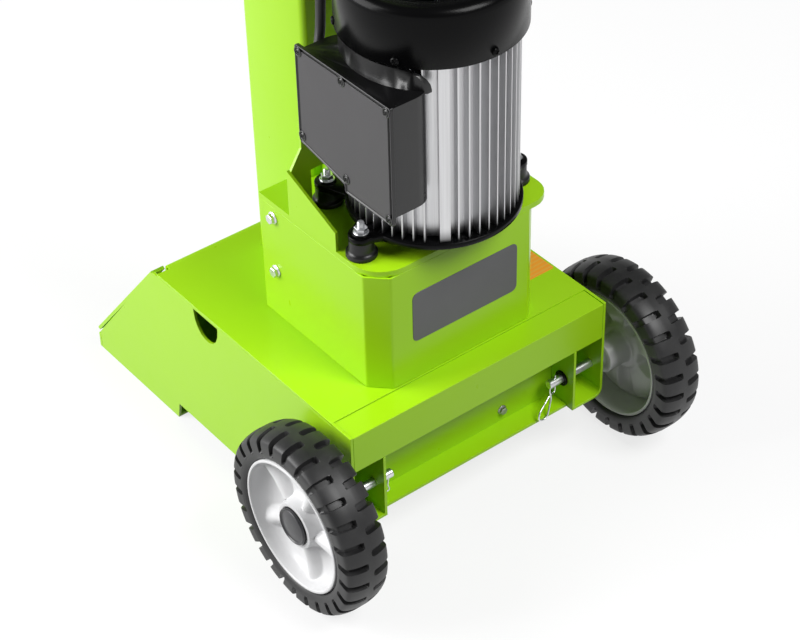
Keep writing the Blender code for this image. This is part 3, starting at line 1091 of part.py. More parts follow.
def build_arm(side, carrier):
    """Control arm: pivot bar, bent tube out to the grip, and a crank behind the column."""
    label = "left" if side > 0 else "right"
    x = side * ARM_PIVOT_X
    shaft_front = ARM_FRONT_Y - SHAFT_PROUD
    crank_y = LINK_Y - 5 * MM
    bar = rod((x, 0, ARM_PIVOT_Z), PIVOT_RADIUS, shaft_front, crank_y - 2 * MM, "Y", 16)
    elbow = Vector((x, shaft_front + 4 * MM, ARM_PIVOT_Z))
    shoulder = Vector((side * (ARM_PIVOT_X + 26 * MM), shaft_front - 8 * MM, ARM_PIVOT_Z + 4 * MM))
    bend = Vector((side * (ARM_PIVOT_X + ARM_RUN), shaft_front - ARM_FORWARD, ARM_PIVOT_Z + ARM_RISE))
    grip_start = bend + Vector((side * GRIP_TURN, -GRIP_TURN, 4 * MM))
    way = Vector((side * 0.10, -1, 0.02)).normalized()
    tube_end = grip_start + way * GRIP_LENGTH
    tube = bend_tube([elbow, shoulder, bend, grip_start, tube_end], ARM_TUBE, 10, 3)
    front_boss = rod((x, 0, ARM_PIVOT_Z), PIVOT_RADIUS + PIVOT_BOSS, shaft_front - 2 * MM, ARM_FRONT_Y - 2 * GAP,
                     "Y", 16)
    crank_x = side * (ARM_PIVOT_X - CRANK_LENGTH)
    pivot_end = arc((ARM_PIVOT_X, ARM_PIVOT_Z), 13 * MM, 90, -90, 6)
    pin_end = arc((ARM_PIVOT_X - CRANK_LENGTH, ARM_PIVOT_Z), 9 * MM, 270, 90, 6)
    crank = prism([(side * u, v) for u, v in pivot_end + pin_end], crank_y - ARM_PLATE, crank_y, "XZ")
    pin = rod((crank_x, 0, ARM_PIVOT_Z), CRANK_PIN, crank_y - 1 * MM, LINK_Y + 9 * MM, "Y", 12)
    guard_start = grip_start - way * 6 * MM
    guard_end = tube_end + way * GUARD_OVERRUN
    guard_rise = Vector((0, 0, GUARD_HEIGHT))
    guard = bend_tube([guard_start, guard_start + guard_rise, guard_end + guard_rise, guard_end,
                       tube_end - way * 5 * MM], GUARD_RADIUS, 6, 3)
    boss_x, boss_y = claw_seat()
    boss = rod((side * boss_x, boss_y, 0), CLAW_BOSS, CLAW_TOP + GAP, ARM_PIVOT_Z + ARM_TUBE / 2, steps=12)
    arm = fuse(bar, front_boss, tube, crank, pin, guard, boss)
    hold(named(arm, "control_arm_" + label, "black_paint", smooth=True), carrier)

    grip_path = [grip_start + way * 20 * MM, grip_start + way * (GRIP_LENGTH - 5 * MM)]
    sleeve = sweep([grip_path[0], grip_path[0].lerp(grip_path[1], 0.5), grip_path[1]], GRIP_RADIUS, 12)
    hole_radius = (ARM_TUBE + GAP) / math.cos(math.pi / 12)
    hole = sweep([grip_path[0] - way * 0.02, grip_path[1] + way * 0.02], hole_radius, 12)
    hold(named(cut(sleeve, hole), "grip_" + label, "rubber", smooth=True), carrier)

    build_claw(side, carrier)


def claw_seat():
    """Where the claw's boss stands under the outward run of the arm's tube."""
    return ARM_PIVOT_X + CLAW_SEAT_OUT, ARM_FRONT_Y - CLAW_SEAT_FORWARD


def build_claw(side, carrier):
    """Toothed claw bolted under each arm, which holds the log upright."""
    label = "left" if side > 0 else "right"
    seat_x, seat_y = claw_seat()
    inner = ARM_PIVOT_X - 48 * MM
    tooth = 14 * MM
    near = seat_y - 16 * MM
    outline = [(seat_x + 14 * MM, seat_y + 14 * MM), (inner + 20 * MM, seat_y + 2 * MM), (inner + 9 * MM, near)]
    for k in range(CLAW_TEETH):
        outline += [(inner, near - (k + 0.5) * tooth), (inner + 9 * MM, near - (k + 1) * tooth)]
    outline += [(seat_x - 30 * MM, near - 2 * tooth), (seat_x + 14 * MM, seat_y - 14 * MM)]
    claw = prism([(side * x, y) for x, y in outline], CLAW_TOP - CLAW_THICK, CLAW_TOP)
    hold(named(claw, "log_claw_" + label, "black_paint"), carrier)


def build_valve(valve):
    """Valve block behind the column, its rod, and the rocker that both cranks lift."""
    block_front = COLUMN_REAR + SHEET + GAP
    body = block(-VALVE_HALF, VALVE_HALF, block_front, block_front + VALVE_DEPTH, VALVE_BOTTOM, VALVE_TOP)
    bore = rod((0, LINK_Y, 0), VALVE_ROD_RADIUS + GAP, VALVE_BOTTOM + 12 * MM, VALVE_TOP + 0.01, steps=16)
    port = rod((0, 0, VALVE_BOTTOM + PORT_HEIGHT), PIPE_RADIUS + GAP, block_front + VALVE_DEPTH - 8 * MM,
               block_front + VALVE_DEPTH + 8 * MM, "Y", 16)
    drop = rod((PIPE_X, LINK_Y + 10 * MM, 0), PIPE_RADIUS + GAP, VALVE_BOTTOM - 0.01, VALVE_BOTTOM + 10 * MM, steps=16)
    named(cut(body, bore, port, drop), "valve_block", "cast_aluminium")

    bar_half = ARM_PIVOT_X - CRANK_LENGTH + 10 * MM
    rocker = [(-bar_half, ARM_PIVOT_Z - 9 * MM), (-20 * MM, ARM_PIVOT_Z - 13 * MM), (20 * MM, ARM_PIVOT_Z - 13 * MM),
              (bar_half, ARM_PIVOT_Z - 9 * MM), (bar_half, ARM_PIVOT_Z + 9 * MM), (-bar_half, ARM_PIVOT_Z + 9 * MM)]
    plate = prism(rocker, LINK_Y - 2.5 * MM, LINK_Y + 2.5 * MM, "XZ")
    slot_x = ARM_PIVOT_X - CRANK_LENGTH
    clear = CRANK_PIN + 0.5 * MM
    slots = [prism(arc((s * slot_x + 2 * MM, ARM_PIVOT_Z), clear, -90, 90, 5)
                   + arc((s * slot_x - 2 * MM, ARM_PIVOT_Z), clear, 90, 270, 5), LINK_Y - 0.02, LINK_Y + 0.02, "XZ")
             for s in (1, -1)]
    stem = rod((0, LINK_Y, 0), VALVE_ROD_RADIUS, VALVE_TOP - 50 * MM, ARM_PIVOT_Z + 4 * MM, steps=12)
    nut = rod((0, LINK_Y, 0), VALVE_ROD_RADIUS + 3.5 * MM, ARM_PIVOT_Z - 22 * MM, ARM_PIVOT_Z - 12 * MM, steps=12)
    linkage = cut(fuse(plate, stem, nut), *slots)
    hold(named(linkage, "valve_rod", "zinc"), valve)


def build_pump():
    """Gear pump hung from the motor's flange, its pipes, and the oil tank under the deck."""
    low, high = VALVE_BOTTOM + 6 * MM, SHELF_BOTTOM - PUMP_BELOW_SHELF
    body = block(MOTOR_X - PUMP_HALF, MOTOR_X + PUMP_HALF, MOTOR_Y - PUMP_FRONT, MOTOR_Y + PUMP_REAR, low, high)
    neck = rod((MOTOR_X, MOTOR_Y, 0), PUMP_NECK, high - 1 * MM, MOUNT_TOP - GAP, steps=24)
    rim = rod((MOTOR_X, MOTOR_Y, 0), PUMP_RIM, MOUNT_TOP - 9 * MM, MOUNT_TOP - GAP, steps=24)
    foot = rod((MOTOR_X, MOTOR_Y, 0), PUMP_NECK * 0.8, low - 18 * MM, low + 1 * MM, steps=20)
    drive = rod((MOTOR_X, MOTOR_Y, 0), SHAFT_RADIUS + 1 * MM, SHELF_BOTTOM - 8 * MM, MOUNT_TOP + 0.01, steps=20)
    pump = cut(fuse(body, neck, rim, foot), drive)
    named(pump, "gear_pump", "cast_aluminium")

    block_rear = COLUMN_REAR + SHEET + GAP + VALVE_DEPTH
    port_z = VALVE_BOTTOM + PORT_HEIGHT
    pressure = rod((0, 0, port_z), PIPE_RADIUS, block_rear - 8 * MM + GAP, MOTOR_Y - PUMP_FRONT - GAP, "Y", 14)
    nut = rod((0, 0, port_z), PIPE_RADIUS + 4 * MM, block_rear + GAP, block_rear + 12 * MM, "Y", 6)
    down = bend_tube([(PIPE_X, LINK_Y + 10 * MM, VALVE_BOTTOM + 8 * MM), (PIPE_X, LINK_Y + 10 * MM, PIPE_LOW_Z),
                      (PIPE_X, COLUMN_Y + PORT_BOSS_END + GAP, PIPE_LOW_Z)], PIPE_RADIUS, 12, 5, 0.018)
    named(fuse(pressure, nut), "pump_pipe", "steel", smooth=True)
    named(down, "cylinder_pipe", "steel", smooth=True)

    half = HALF - BRACKET_WIDTH - SHEET
    rear = CROSS_PLATE_Y - SHEET - GAP
    side = -(HALF - SHEET - 12 * MM)
    outline = [(half, TANK_FRONT), (half, rear), (-half, rear), (-half, REAR_Y - BRACKET_DEPTH - 10 * MM),
               (side, REAR_Y - BRACKET_DEPTH - 10 * MM), (side, TANK_FRONT)]
    top = DECK_UNDER - GAP
    tank = prism(outline, TANK_BOTTOM, top)
    tank = cut(tank, rod((FILLER_X, FILLER_Y, top), 10 * MM, -0.12, 0.01, steps=16),
               rod((DRAIN_X, 0, DRAIN_Z), DRAIN_SIZE / 2 + 2 * GAP, rear - 0.02, rear + 0.005, "Y", 12))
    named(tank, "oil_tank", "green_paint")
    profile = [(0, DECK_TOP - 90 * MM), (3 * MM, DECK_TOP - 90 * MM), (3 * MM, DECK_TOP - 20 * MM),
               (9 * MM, DECK_TOP - 20 * MM), (9 * MM, DECK_TOP + GAP), (17 * MM, DECK_TOP + GAP),
               (17 * MM, DECK_TOP + 10 * MM), (13 * MM, DECK_TOP + 14 * MM), (0, DECK_TOP + 14 * MM)]
    named(revolve(profile, 12, (FILLER_X, FILLER_Y, 0), closed=False), "dipstick_cap", "black_plastic", smooth=True)
    drain = flange_bolt((DRAIN_X, CROSS_PLATE_Y + GAP, DRAIN_Z), (0, 1, 0), DRAIN_SIZE, SHEET + 14 * MM)
    named(drain, "drain_plug", "zinc", smooth=True)


def build_handle():
    """Bow at the back of the column, to tip the machine onto its wheels."""
    seat = COLUMN_WIDTH / 2 + HANDLE_TUBE + GAP
    rear = COLUMN_REAR + HANDLE_REACH
    half = HANDLE_WIDTH / 2
    path = [(seat, COLUMN_Y + 14 * MM, HANDLE_Z), (seat, COLUMN_REAR + 20 * MM, HANDLE_Z),
            (half, COLUMN_REAR + 80 * MM, HANDLE_Z + 6 * MM), (half, rear, HANDLE_Z + 16 * MM)]
    path += [(-x, y, z) for x, y, z in reversed(path)]
    return named(bend_tube(path, HANDLE_TUBE, 10, 3, 0.05), "transport_handle", "black_paint", smooth=True)


def tread_ring(low, high, root, tip):
    """The tyre's lugs as one toothed ring, each lug narrower at its top than at its root."""
    outline = []
    step = 2 * math.pi / TREAD_LUGS
    for k in range(TREAD_LUGS):
        for share, radius in ((0.0, root), (0.06, tip), (0.62, tip), (0.68, root)):
            angle = (k + share - 0.34) * step - math.pi / 2
            outline.append((AXLE_Y + radius * math.cos(angle), TYRE_RADIUS + radius * math.sin(angle)))
    return prism(outline, low, high, "YZ")


def build_wheel(side, carrier):
    """Wheel: moulded hub with raised spokes on a dished disc, tyre, and a snap-in cap."""
    label = "left" if side > 0 else "right"
    centre = (0, AXLE_Y, TYRE_RADIUS)
    inner, outer = WHEEL_X - TYRE_WIDTH / 2, WHEEL_X + TYRE_WIDTH / 2
    root = TYRE_RADIUS - TREAD_DEPTH
    bead = RIM_RADIUS + GAP
    side_wall = [(root - 3 * MM, outer - 4 * MM), (root - 14 * MM, outer), (bead + 8 * MM, outer),
                 (bead, outer - 6 * MM), (bead, inner + 6 * MM), (bead + 8 * MM, inner), (root - 14 * MM, inner),
                 (root - 3 * MM, inner + 4 * MM)]
    tyre = revolve(side_wall, TREAD_LUGS, centre, "X")
    tread = tread_ring(inner + 5 * MM, outer - 5 * MM, root, TYRE_RADIUS)
    tyre = fuse(tyre, cut(tread, rod(centre, root - 6 * MM, inner - 0.01, outer + 0.01, "X", TREAD_LUGS)))
    wheel = moulded_wheel(inner, outer)
    cap_out = outer - 4 * MM
    cap_profile = [(0, cap_out - 12 * MM), (CAP_RADIUS - 2 * MM, cap_out - 12 * MM), (CAP_RADIUS - 2 * MM, cap_out - 3
                   * MM), (CAP_RADIUS, cap_out - 3 * MM), (CAP_RADIUS, cap_out), (CAP_RADIUS * 0.7, cap_out + 3 * MM),
                   (0, cap_out + 4 * MM)]
    cap = revolve(cap_profile, 16, centre, "X", closed=False)
    for obj, name, finish, smooth in ((tyre, "tyre_" + label, "rubber", False), (wheel, "wheel_" + label,
                                      "grey_plastic", True), (cap, "hub_cap_" + label, "black_plastic", True)):
        if side < 0:
            obj.data.transform(Matrix.Scale(-1, 4, (1, 0, 0)))
            obj.data.flip_normals()
        hold(named(obj, name, finish, smooth), carrier)


def moulded_wheel(inner, outer):
    """The grey wheel, its axis along X: rim, dished disc, hub and tapering spokes."""
    centre = (0, AXLE_Y, TYRE_RADIUS)
    middle = (inner + outer) / 2
    skin = 4 * MM
    flange = outer - 2 * MM
    bore = AXLE_RADIUS + GAP
    hub_out = outer - 8 * MM
    hub_in = inner - 6 * MM
    profile = [(bore, hub_in), (HUB_RADIUS * 0.72, hub_in), (HUB_RADIUS * 0.8, middle - 8 * MM),
               (RIM_RADIUS - 16 * MM, middle - 6 * MM), (RIM_RADIUS - skin - 3 * MM, inner + 4 * MM),
               (RIM_RADIUS, inner + 4 * MM), (RIM_RADIUS, outer - 5 * MM), (RIM_RADIUS - 1 * MM, flange),
               (RIM_RADIUS - skin, flange), (RIM_RADIUS - skin - 5 * MM, middle + 10 * MM),
               (HUB_RADIUS + 6 * MM, middle + 2 * MM), (HUB_RADIUS, hub_out), (CAP_RADIUS + GAP, hub_out),
               (CAP_RADIUS + GAP, hub_out - 8 * MM), (bore, hub_out - 8 * MM)]
    disc = revolve(profile, TREAD_LUGS, centre, "X")
    spokes = []
    for k in range(WHEEL_SPOKES):
        angle = math.radians(SPOKE_PHASE + 360 * k / WHEEL_SPOKES)
        near, far = HUB_RADIUS - 3 * MM, RIM_RADIUS - skin - 1 * MM
        verts = []
        for radius, half, crest in ((near, 12 * MM, hub_out - 6 * MM), (far, 19 * MM, middle + 17 * MM)):
            for across, height in ((-half, middle - 2 * MM), (half, middle - 2 * MM), (half * 0.4, crest),
                                   (-half * 0.4, crest)):
                verts.append((height, AXLE_Y + radius * math.cos(angle) - across * math.sin(angle),
                              TYRE_RADIUS + radius * math.sin(angle) + across * math.cos(angle)))
        spokes.append(mesh_object(verts, [(0, 1, 2, 3), (4, 5, 6, 7), (0, 1, 5, 4), (1, 2, 6, 5), (2, 3, 7, 6),
                                          (3, 0, 4, 7)]))
    return fuse(disc, *spokes)


def build_axles():
    """Stub axles through the brackets, with a collar outside and a cross hole for the clip inside."""
    wall = HALF - BRACKET_WIDTH
    for s, name in ((1, "axle_left"), (-1, "axle_right")):
        near, far = wall - 24 * MM, WHEEL_X + TYRE_WIDTH / 2 - 18 * MM
        pin = rod((0, AXLE_Y, TYRE_RADIUS), AXLE_RADIUS, min(s * near, s * far), max(s * near, s * far), "X", 14)
        face = HALF + GAP
        stop = rod((0, AXLE_Y, TYRE_RADIUS), AXLE_RADIUS + 5 * MM, min(s * face, s * (face + 5 * MM)),
                   max(s * face, s * (face + 5 * MM)), "X", 14)
        hole = rod((s * (wall - 12 * MM), AXLE_Y, TYRE_RADIUS), 1.9 * MM, -0.02, 0.02, "Z", 6)
        named(cut(fuse(pin, stop), hole), name, "zinc", smooth=True)


def main():
    clear_scene()
    ram = pivot("ram_slide", (0, COLUMN_Y, RAM_TOP))
    rotor = pivot("rotor_axis", (MOTOR_X, MOTOR_Y, FLANGE_TOP))
    valve = pivot("valve_slide", (0, LINK_Y, ARM_PIVOT_Z))
    button_y = COLUMN_REAR + SWITCH_DEPTH
    button_z = SWITCH_BOTTOM + SWITCH_HEIGHT / 2
    start = pivot("start_slide", (SWITCH_X + BUTTON_PITCH / 2, button_y, button_z))
    stop = pivot("stop_slide", (SWITCH_X - BUTTON_PITCH / 2, button_y, button_z))

    build_side_plate(1, "side_plate_left")
    build_side_plate(-1, "side_plate_right")
    build_deck()
    build_base_plate()
    build_rear_frame()
    build_column()
    build_guide_collar()
    build_cylinder(ram)
    build_ram(ram)
    build_wedge(ram)
    build_stroke_rod(ram)
    build_housing()
    build_motor_bracket()
    build_motor_mounts()
    build_motor_flange()
    build_motor_body()
    build_rotor(rotor)
    build_end_shield()
    build_fan_cover()
    build_terminal_box()
    build_motor_lead()
    build_switch_box(start, stop)
    build_arm_brackets()
    for side in (1, -1):
        carrier = pivot("arm_pivot", (side * ARM_PIVOT_X, 0, ARM_PIVOT_Z))
        build_arm(side, carrier)
    build_valve(valve)
    build_pump()
    build_handle()
    for side in (1, -1):
        build_wheel(side, pivot("wheel_axis", (side * WHEEL_X, AXLE_Y, TYRE_RADIUS)))
    build_axles()


main()
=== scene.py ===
# %% [markdown]
# # An upright electric log splitter
#
# The solid model of the machine is finished already. It comes in as a fixed frame, in metres, and
# this notebook dresses it: lugged tyres, moulded wheels, fins, folded sheet, fasteners and paint.

# %% Load the frame
import math
import bmesh
import bpy
import numpy as np
from mathutils import Matrix, Vector


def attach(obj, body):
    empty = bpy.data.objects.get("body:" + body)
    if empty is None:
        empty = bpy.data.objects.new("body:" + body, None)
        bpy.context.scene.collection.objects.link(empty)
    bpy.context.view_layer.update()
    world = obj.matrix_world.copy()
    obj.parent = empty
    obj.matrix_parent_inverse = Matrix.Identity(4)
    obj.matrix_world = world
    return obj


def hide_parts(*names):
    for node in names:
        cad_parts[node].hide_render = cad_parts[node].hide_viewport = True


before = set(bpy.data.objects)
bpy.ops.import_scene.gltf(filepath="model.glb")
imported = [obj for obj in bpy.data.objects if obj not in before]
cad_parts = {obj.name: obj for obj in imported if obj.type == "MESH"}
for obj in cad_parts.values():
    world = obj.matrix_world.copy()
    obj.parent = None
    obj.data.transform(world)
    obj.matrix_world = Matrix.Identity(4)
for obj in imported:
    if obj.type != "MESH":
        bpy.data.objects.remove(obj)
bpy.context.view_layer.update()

MM = 0.001

# %% [markdown]
# ## The camera
#
# The photograph looks down at the back of the machine, about 39 degrees below the horizon. Place,
# angles and lens were worked out from straight edges and circles of the machine, so the render
# lies over the photograph. The camera's matrix is built from its own three axes: across the
# picture, up the picture and backwards out of it.

# %% Camera
EYE = np.array([1.3505, 1.8573, 2.0212])
YAW, PITCH, ROLL = 0.6508, -0.6818, -0.0266
FOCAL_PIXELS, IMAGE_WIDTH, SENSOR = 2223.4, 800, 36.0
ahead = np.array([-math.sin(YAW) * math.cos(PITCH), -math.cos(YAW) * math.cos(PITCH), math.sin(PITCH)])
across = np.cross(ahead, [0, 0, 1])
across /= np.linalg.norm(across)
upward = np.cross(across, ahead)
picture_right = across * math.cos(ROLL) + upward * math.sin(ROLL)
picture_up = -across * math.sin(ROLL) + upward * math.cos(ROLL)
camera = bpy.data.objects.new("camera", bpy.data.cameras.new("camera"))
camera.data.sensor_width = SENSOR
camera.data.lens = SENSOR * FOCAL_PIXELS / IMAGE_WIDTH
camera.data.clip_end = 50.0
axes = np.eye(4)
axes[:3] = np.column_stack([picture_right, picture_up, -ahead, EYE])
camera.matrix_world = Matrix(axes.tolist())
bpy.context.scene.collection.objects.link(camera)
bpy.context.scene.camera = camera
print("lens:", round(camera.data.lens, 1), "mm")

# %% [markdown]
# ## Shader maths as Python
#
# A finish is a graph of small nodes. Wiring it node by node hides the idea, so one small class
# wraps a socket and turns Python's operators into Math nodes: `1 - mask` or `noise * 0.1 + 0.3`
# then reads like its formula. Each operator has its reflected form, so that a number may come first.

# %% Socket arithmetic
class Value:
    """One socket of a graph that is added, subtracted and multiplied like a number."""

    def __init__(self, graph, socket):
        self.graph = graph
        self.socket = socket

    def maths(self, operation, *items):
        """The result of one Math node, whose inputs are sockets or numbers."""
        return self.graph.value("ShaderNodeMath", {"operation": operation}, dict(enumerate(items)))

    def __add__(self, other):
        return self.maths("ADD", self, other)

    def __mul__(self, other):
        return self.maths("MULTIPLY", self, other)

    def __sub__(self, other):
        return self.maths("SUBTRACT", self, other)

    def __rsub__(self, other):
        return self.maths("SUBTRACT", other, self)

    __radd__ = __add__
    __rmul__ = __mul__

    def at_most(self, limit):
        """The smaller of the value and the limit."""
        return self.maths("MINIMUM", self, limit)

    def sine(self):
        """The sine of the value in radians."""
        return self.maths("SINE", self)

    def step(self, start, end):
        """0 at start and 1 at end, with a smooth slope between them."""
        return self.graph.value("ShaderNodeMapRange", {"interpolation_type": "SMOOTHSTEP"},
                                {"Value": self, "From Min": start, "From Max": end})


print("shader maths ready")

# %% [markdown]
# Anything that isn't arithmetic, such as a noise, a mix or a whole shader, comes from one method
# that takes the node's type, its settings and its inputs. The settings go first, because some of
# them change which sockets a node has.

# %% Node graphs
class Graph:
    """The node tree of a material or a world, emptied and ready for new nodes."""

    def __init__(self, owner):
        owner.use_nodes = True
        self.tree = owner.node_tree
        self.tree.nodes.clear()

    def node(self, kind, settings=None, inputs=None):
        """A node of any type: settings first, then each input's value or link, by name or number."""
        made = self.tree.nodes.new(kind)
        for name, setting in (settings or {}).items():
            setattr(made, name, setting)
        for key, item in (inputs or {}).items():
            item = getattr(item, "socket", item)
            if isinstance(item, bpy.types.NodeSocket):
                self.tree.links.new(item, made.inputs[key])
            else:
                made.inputs[key].default_value = item
        return made

    def value(self, kind, settings=None, inputs=None, output=0):
        """The same, but one of the new node's outputs, ready for arithmetic."""
        return Value(self, self.node(kind, settings, inputs).outputs[output])

    def shown(self):
        """1 for rays from the camera, off something glossy or through glass, 0 for diffuse light."""
        rays = self.node("ShaderNodeLightPath")
        seen, gloss, glass = (Value(self, rays.outputs[name])
                              for name in ("Is Camera Ray", "Is Glossy Ray", "Is Transmission Ray"))
        return (seen + gloss + glass).at_most(1.0)


print("node graphs ready")

# %% [markdown]
# ## The studio
#
# The real picture was taken on a white sweep under broad soft lamps. More light would bleach the
# machine, so the white is a colour instead: a ray that comes straight from the camera, or off
# something glossy, finds a white sweep and a nearly white floor, and the light that falls on the
# machine stays at a plain level. About a fifth of the floor's look is still its lit surface, so
# the soft shadow stays on it. High overhead the studio is dim, which keeps black tops black.

# %% World
def studio_world(level, ceiling):
    """White up to a dim ceiling, by the height of the direction; other rays get one level."""
    world = bpy.data.worlds.new("studio")
    graph = Graph(world)
    lit = graph.node("ShaderNodeBackground", None, {"Color": (0.97, 0.985, 1, 1), "Strength": level})
    white = graph.node("ShaderNodeBackground", None, {"Color": (1, 1, 1, 1), "Strength": 1.0})
    dim = graph.node("ShaderNodeBackground", None, {"Color": (1, 1, 1, 1), "Strength": ceiling})
    way = graph.node("ShaderNodeTexCoord").outputs["Generated"]
    height = Value(graph, graph.node("ShaderNodeSeparateXYZ", None, {0: way}).outputs["Z"])
    sweep = graph.node("ShaderNodeMixShader", None, {0: height.step(0.06, 0.36), 1: white.outputs[0],
                                                     2: dim.outputs[0]})
    mix = graph.node("ShaderNodeMixShader", None, {0: graph.shown(), 1: lit.outputs[0],
                                                   2: sweep.outputs[0]})
    graph.node("ShaderNodeOutputWorld", None, {"Surface": mix.outputs[0]})
    bpy.context.scene.world = world


studio_world(level=0.17, ceiling=0.15)
print("world ready")

# %% [markdown]
# The floor is one flat square. The light that bounces off it comes from a plain mid grey, so the
# machine's underside isn't lit from below, while the camera sees it pale near the machine and
# white farther out, where it runs into the sweep without an edge.

# %% Floor
def studio_floor():
    """A flat square, 12 m wide, lit near the machine and plain white from 3 m outwards."""
    side = np.array([-6.0, 6.0])
    grid = np.stack(np.meshgrid(side, side, [-0.0004], indexing="ij"), axis=-1).reshape(-1, 3)
    mesh = bpy.data.meshes.new("floor")
    mesh.from_pydata(grid.tolist(), [], [(0, 2, 3, 1)])
    floor = bpy.data.objects.new("floor", mesh)
    bpy.context.scene.collection.objects.link(floor)
    material = bpy.data.materials.new("studio_floor")
    graph = Graph(material)
    grey = graph.node("ShaderNodeBsdfDiffuse", None, {"Color": (0.18, 0.18, 0.182, 1)})
    pale = graph.node("ShaderNodeBsdfDiffuse", None, {"Color": (0.93, 0.93, 0.935, 1)})
    white = graph.node("ShaderNodeEmission", None, {"Color": (1, 1, 1, 1), "Strength": 1.0})
    place = graph.node("ShaderNodeTexCoord").outputs["Object"]
    reach = graph.value("ShaderNodeVectorMath", {"operation": "LENGTH"}, {0: place}, "Value")
    share = reach.step(1.0, 3.0) * 0.22 + 0.78
    look = graph.node("ShaderNodeMixShader", None, {0: share, 1: pale.outputs[0], 2: white.outputs[0]})
    mix = graph.node("ShaderNodeMixShader", None, {0: graph.shown(), 1: grey.outputs[0],
                                                   2: look.outputs[0]})
    graph.node("ShaderNodeOutputMaterial", None, {"Surface": mix.outputs[0]})
    material.cycles.emission_sampling = "NONE"
    mesh.materials.append(material)


studio_floor()
print("white sweep ready")

# %% [markdown]
# Two square softboxes light the machine. The key stands low on the terminal box's side and a
# little ahead, which gives that side its pale sheen, and the fill stands behind the machine.

# %% Lamps
def softbox(name, place, target, size, power):
    """A square area lamp at place that faces target."""
    lamp = bpy.data.lights.new(name, "AREA")
    lamp.energy = power
    lamp.size = size
    holder = bpy.data.objects.new(name, lamp)
    holder.location = place
    holder.rotation_euler = (Vector(target) - Vector(place)).to_track_quat("-Z", "Y").to_euler()
    bpy.context.scene.collection.objects.link(holder)


MOTOR_FOOT = (0, 0.05, 0.4)
softbox("key", (2.4, -1.45, 1.75), MOTOR_FOOT, size=2.2, power=150)
softbox("fill", (-0.6, 2.1, 3.0), MOTOR_FOOT, size=1.4, power=98)

# %% [markdown]
# ## Surfaces from arrays
#
# A turned, folded or bent piece is a function of two parameters. Sampling it on a grid gives an
# array of points, and the faces are the same for every grid: each cell is one quad. A closed
# direction joins its last row to its first. A ring of radius zero becomes a pole when its doubled
# points are merged, and that closes the end.

# %% Grids
def grid_faces(rows, columns, wrap_rows=False, wrap_columns=False):
    """Corner numbers of every cell: (i, j), (i, j+1), (i+1, j+1), (i+1, j)."""
    i = np.arange(rows if wrap_rows else rows - 1)[:, None]
    j = np.arange(columns if wrap_columns else columns - 1)[None, :]
    below, beside = (i + 1) % rows, (j + 1) % columns
    cells = [i * columns + j, i * columns + beside, below * columns + beside, below * columns + j]
    return np.stack(cells, axis=-1).reshape(-1, 4)


def sheet(points, wrap_rows=False, wrap_columns=True):
    """A grid of points (rows, columns, 3) as one shape: its points and its faces."""
    rows, columns = points.shape[:2]
    return points.reshape(-1, 3), grid_faces(rows, columns, wrap_rows, wrap_columns).tolist()


def joined(*shapes):
    """Several shapes as one: points stacked, and each shape's corner numbers moved on."""
    starts = np.cumsum([0] + [len(points) for points, _ in shapes[:-1]])
    faces = [[corner + start for corner in face]
             for start, (_, cells) in zip(starts, shapes) for face in cells]
    return np.vstack([points for points, _ in shapes]), faces


def ease(x, low, high):
    """0 below low, 1 above high, and 3t^2 - 2t^3 between them."""
    t = np.clip((x - low) / (high - low), 0, 1)
    return t * t * (3 - 2 * t)


print("one cell of a 2 by 2 grid:", grid_faces(2, 2).tolist())

# %% [markdown]
# Turned parts such as washers, nuts' cones, caps and buffers come from one profile of radius and
# height. They are made about Z and then laid along any direction.

# %% Turned shapes
def turned(profile, steps=48, closed=False):
    """Turn (radius, height) pairs about Z: x = r cos t, y = r sin t, z = height."""
    profile = np.asarray(profile, float)
    turn = np.linspace(0, 2 * np.pi, steps, endpoint=False)
    radius, height = profile[:, :1], profile[:, 1:2]
    points = np.stack([radius * np.cos(turn), radius * np.sin(turn), height + 0 * turn], axis=-1)
    return sheet(points, wrap_rows=closed)


def placed(shape, place=(0, 0, 0), axis="Z", spin=0.0):
    """Move a shape made about Z so that its Z points along axis, a letter or a vector."""
    way = {"X": (1, 0, 0), "Y": (0, 1, 0), "Z": (0, 0, 1)}[axis] if isinstance(axis, str) else axis
    turn = Vector(way).to_track_quat("Z", "Y").to_matrix() @ Matrix.Rotation(spin, 3, "Z")
    return shape[0] @ np.array(turn).T + np.asarray(place, float), shape[1]


print("washer:", len(turned([(3, 0), (8, 0), (8, 1), (3, 1)], closed=True)[1]), "faces")

# %% [markdown]
# Flat parts such as the plate, the cranks and the knob come from one outline. Its corners are
# rounded first. Stacking the outline at several levels, each pushed inwards by a little more,
# gives the part a rounded edge without a modifier.

# %% Outlines
def rounded(corners, reach, steps=6):
    """Replace each corner of a closed outline by a parabola that starts one reach before it."""
    corners = np.asarray(corners, float)
    back, forth = np.roll(corners, 1, axis=0) - corners, np.roll(corners, -1, axis=0) - corners
    start = corners + back / np.linalg.norm(back, axis=1, keepdims=True) * reach
    end = corners + forth / np.linalg.norm(forth, axis=1, keepdims=True) * reach
    t = np.linspace(0, 1, steps)[None, :, None]
    curve = start[:, None] * (1 - t) ** 2 + corners[:, None] * 2 * t * (1 - t) + end[:, None] * t ** 2
    return curve.reshape(-1, 2)


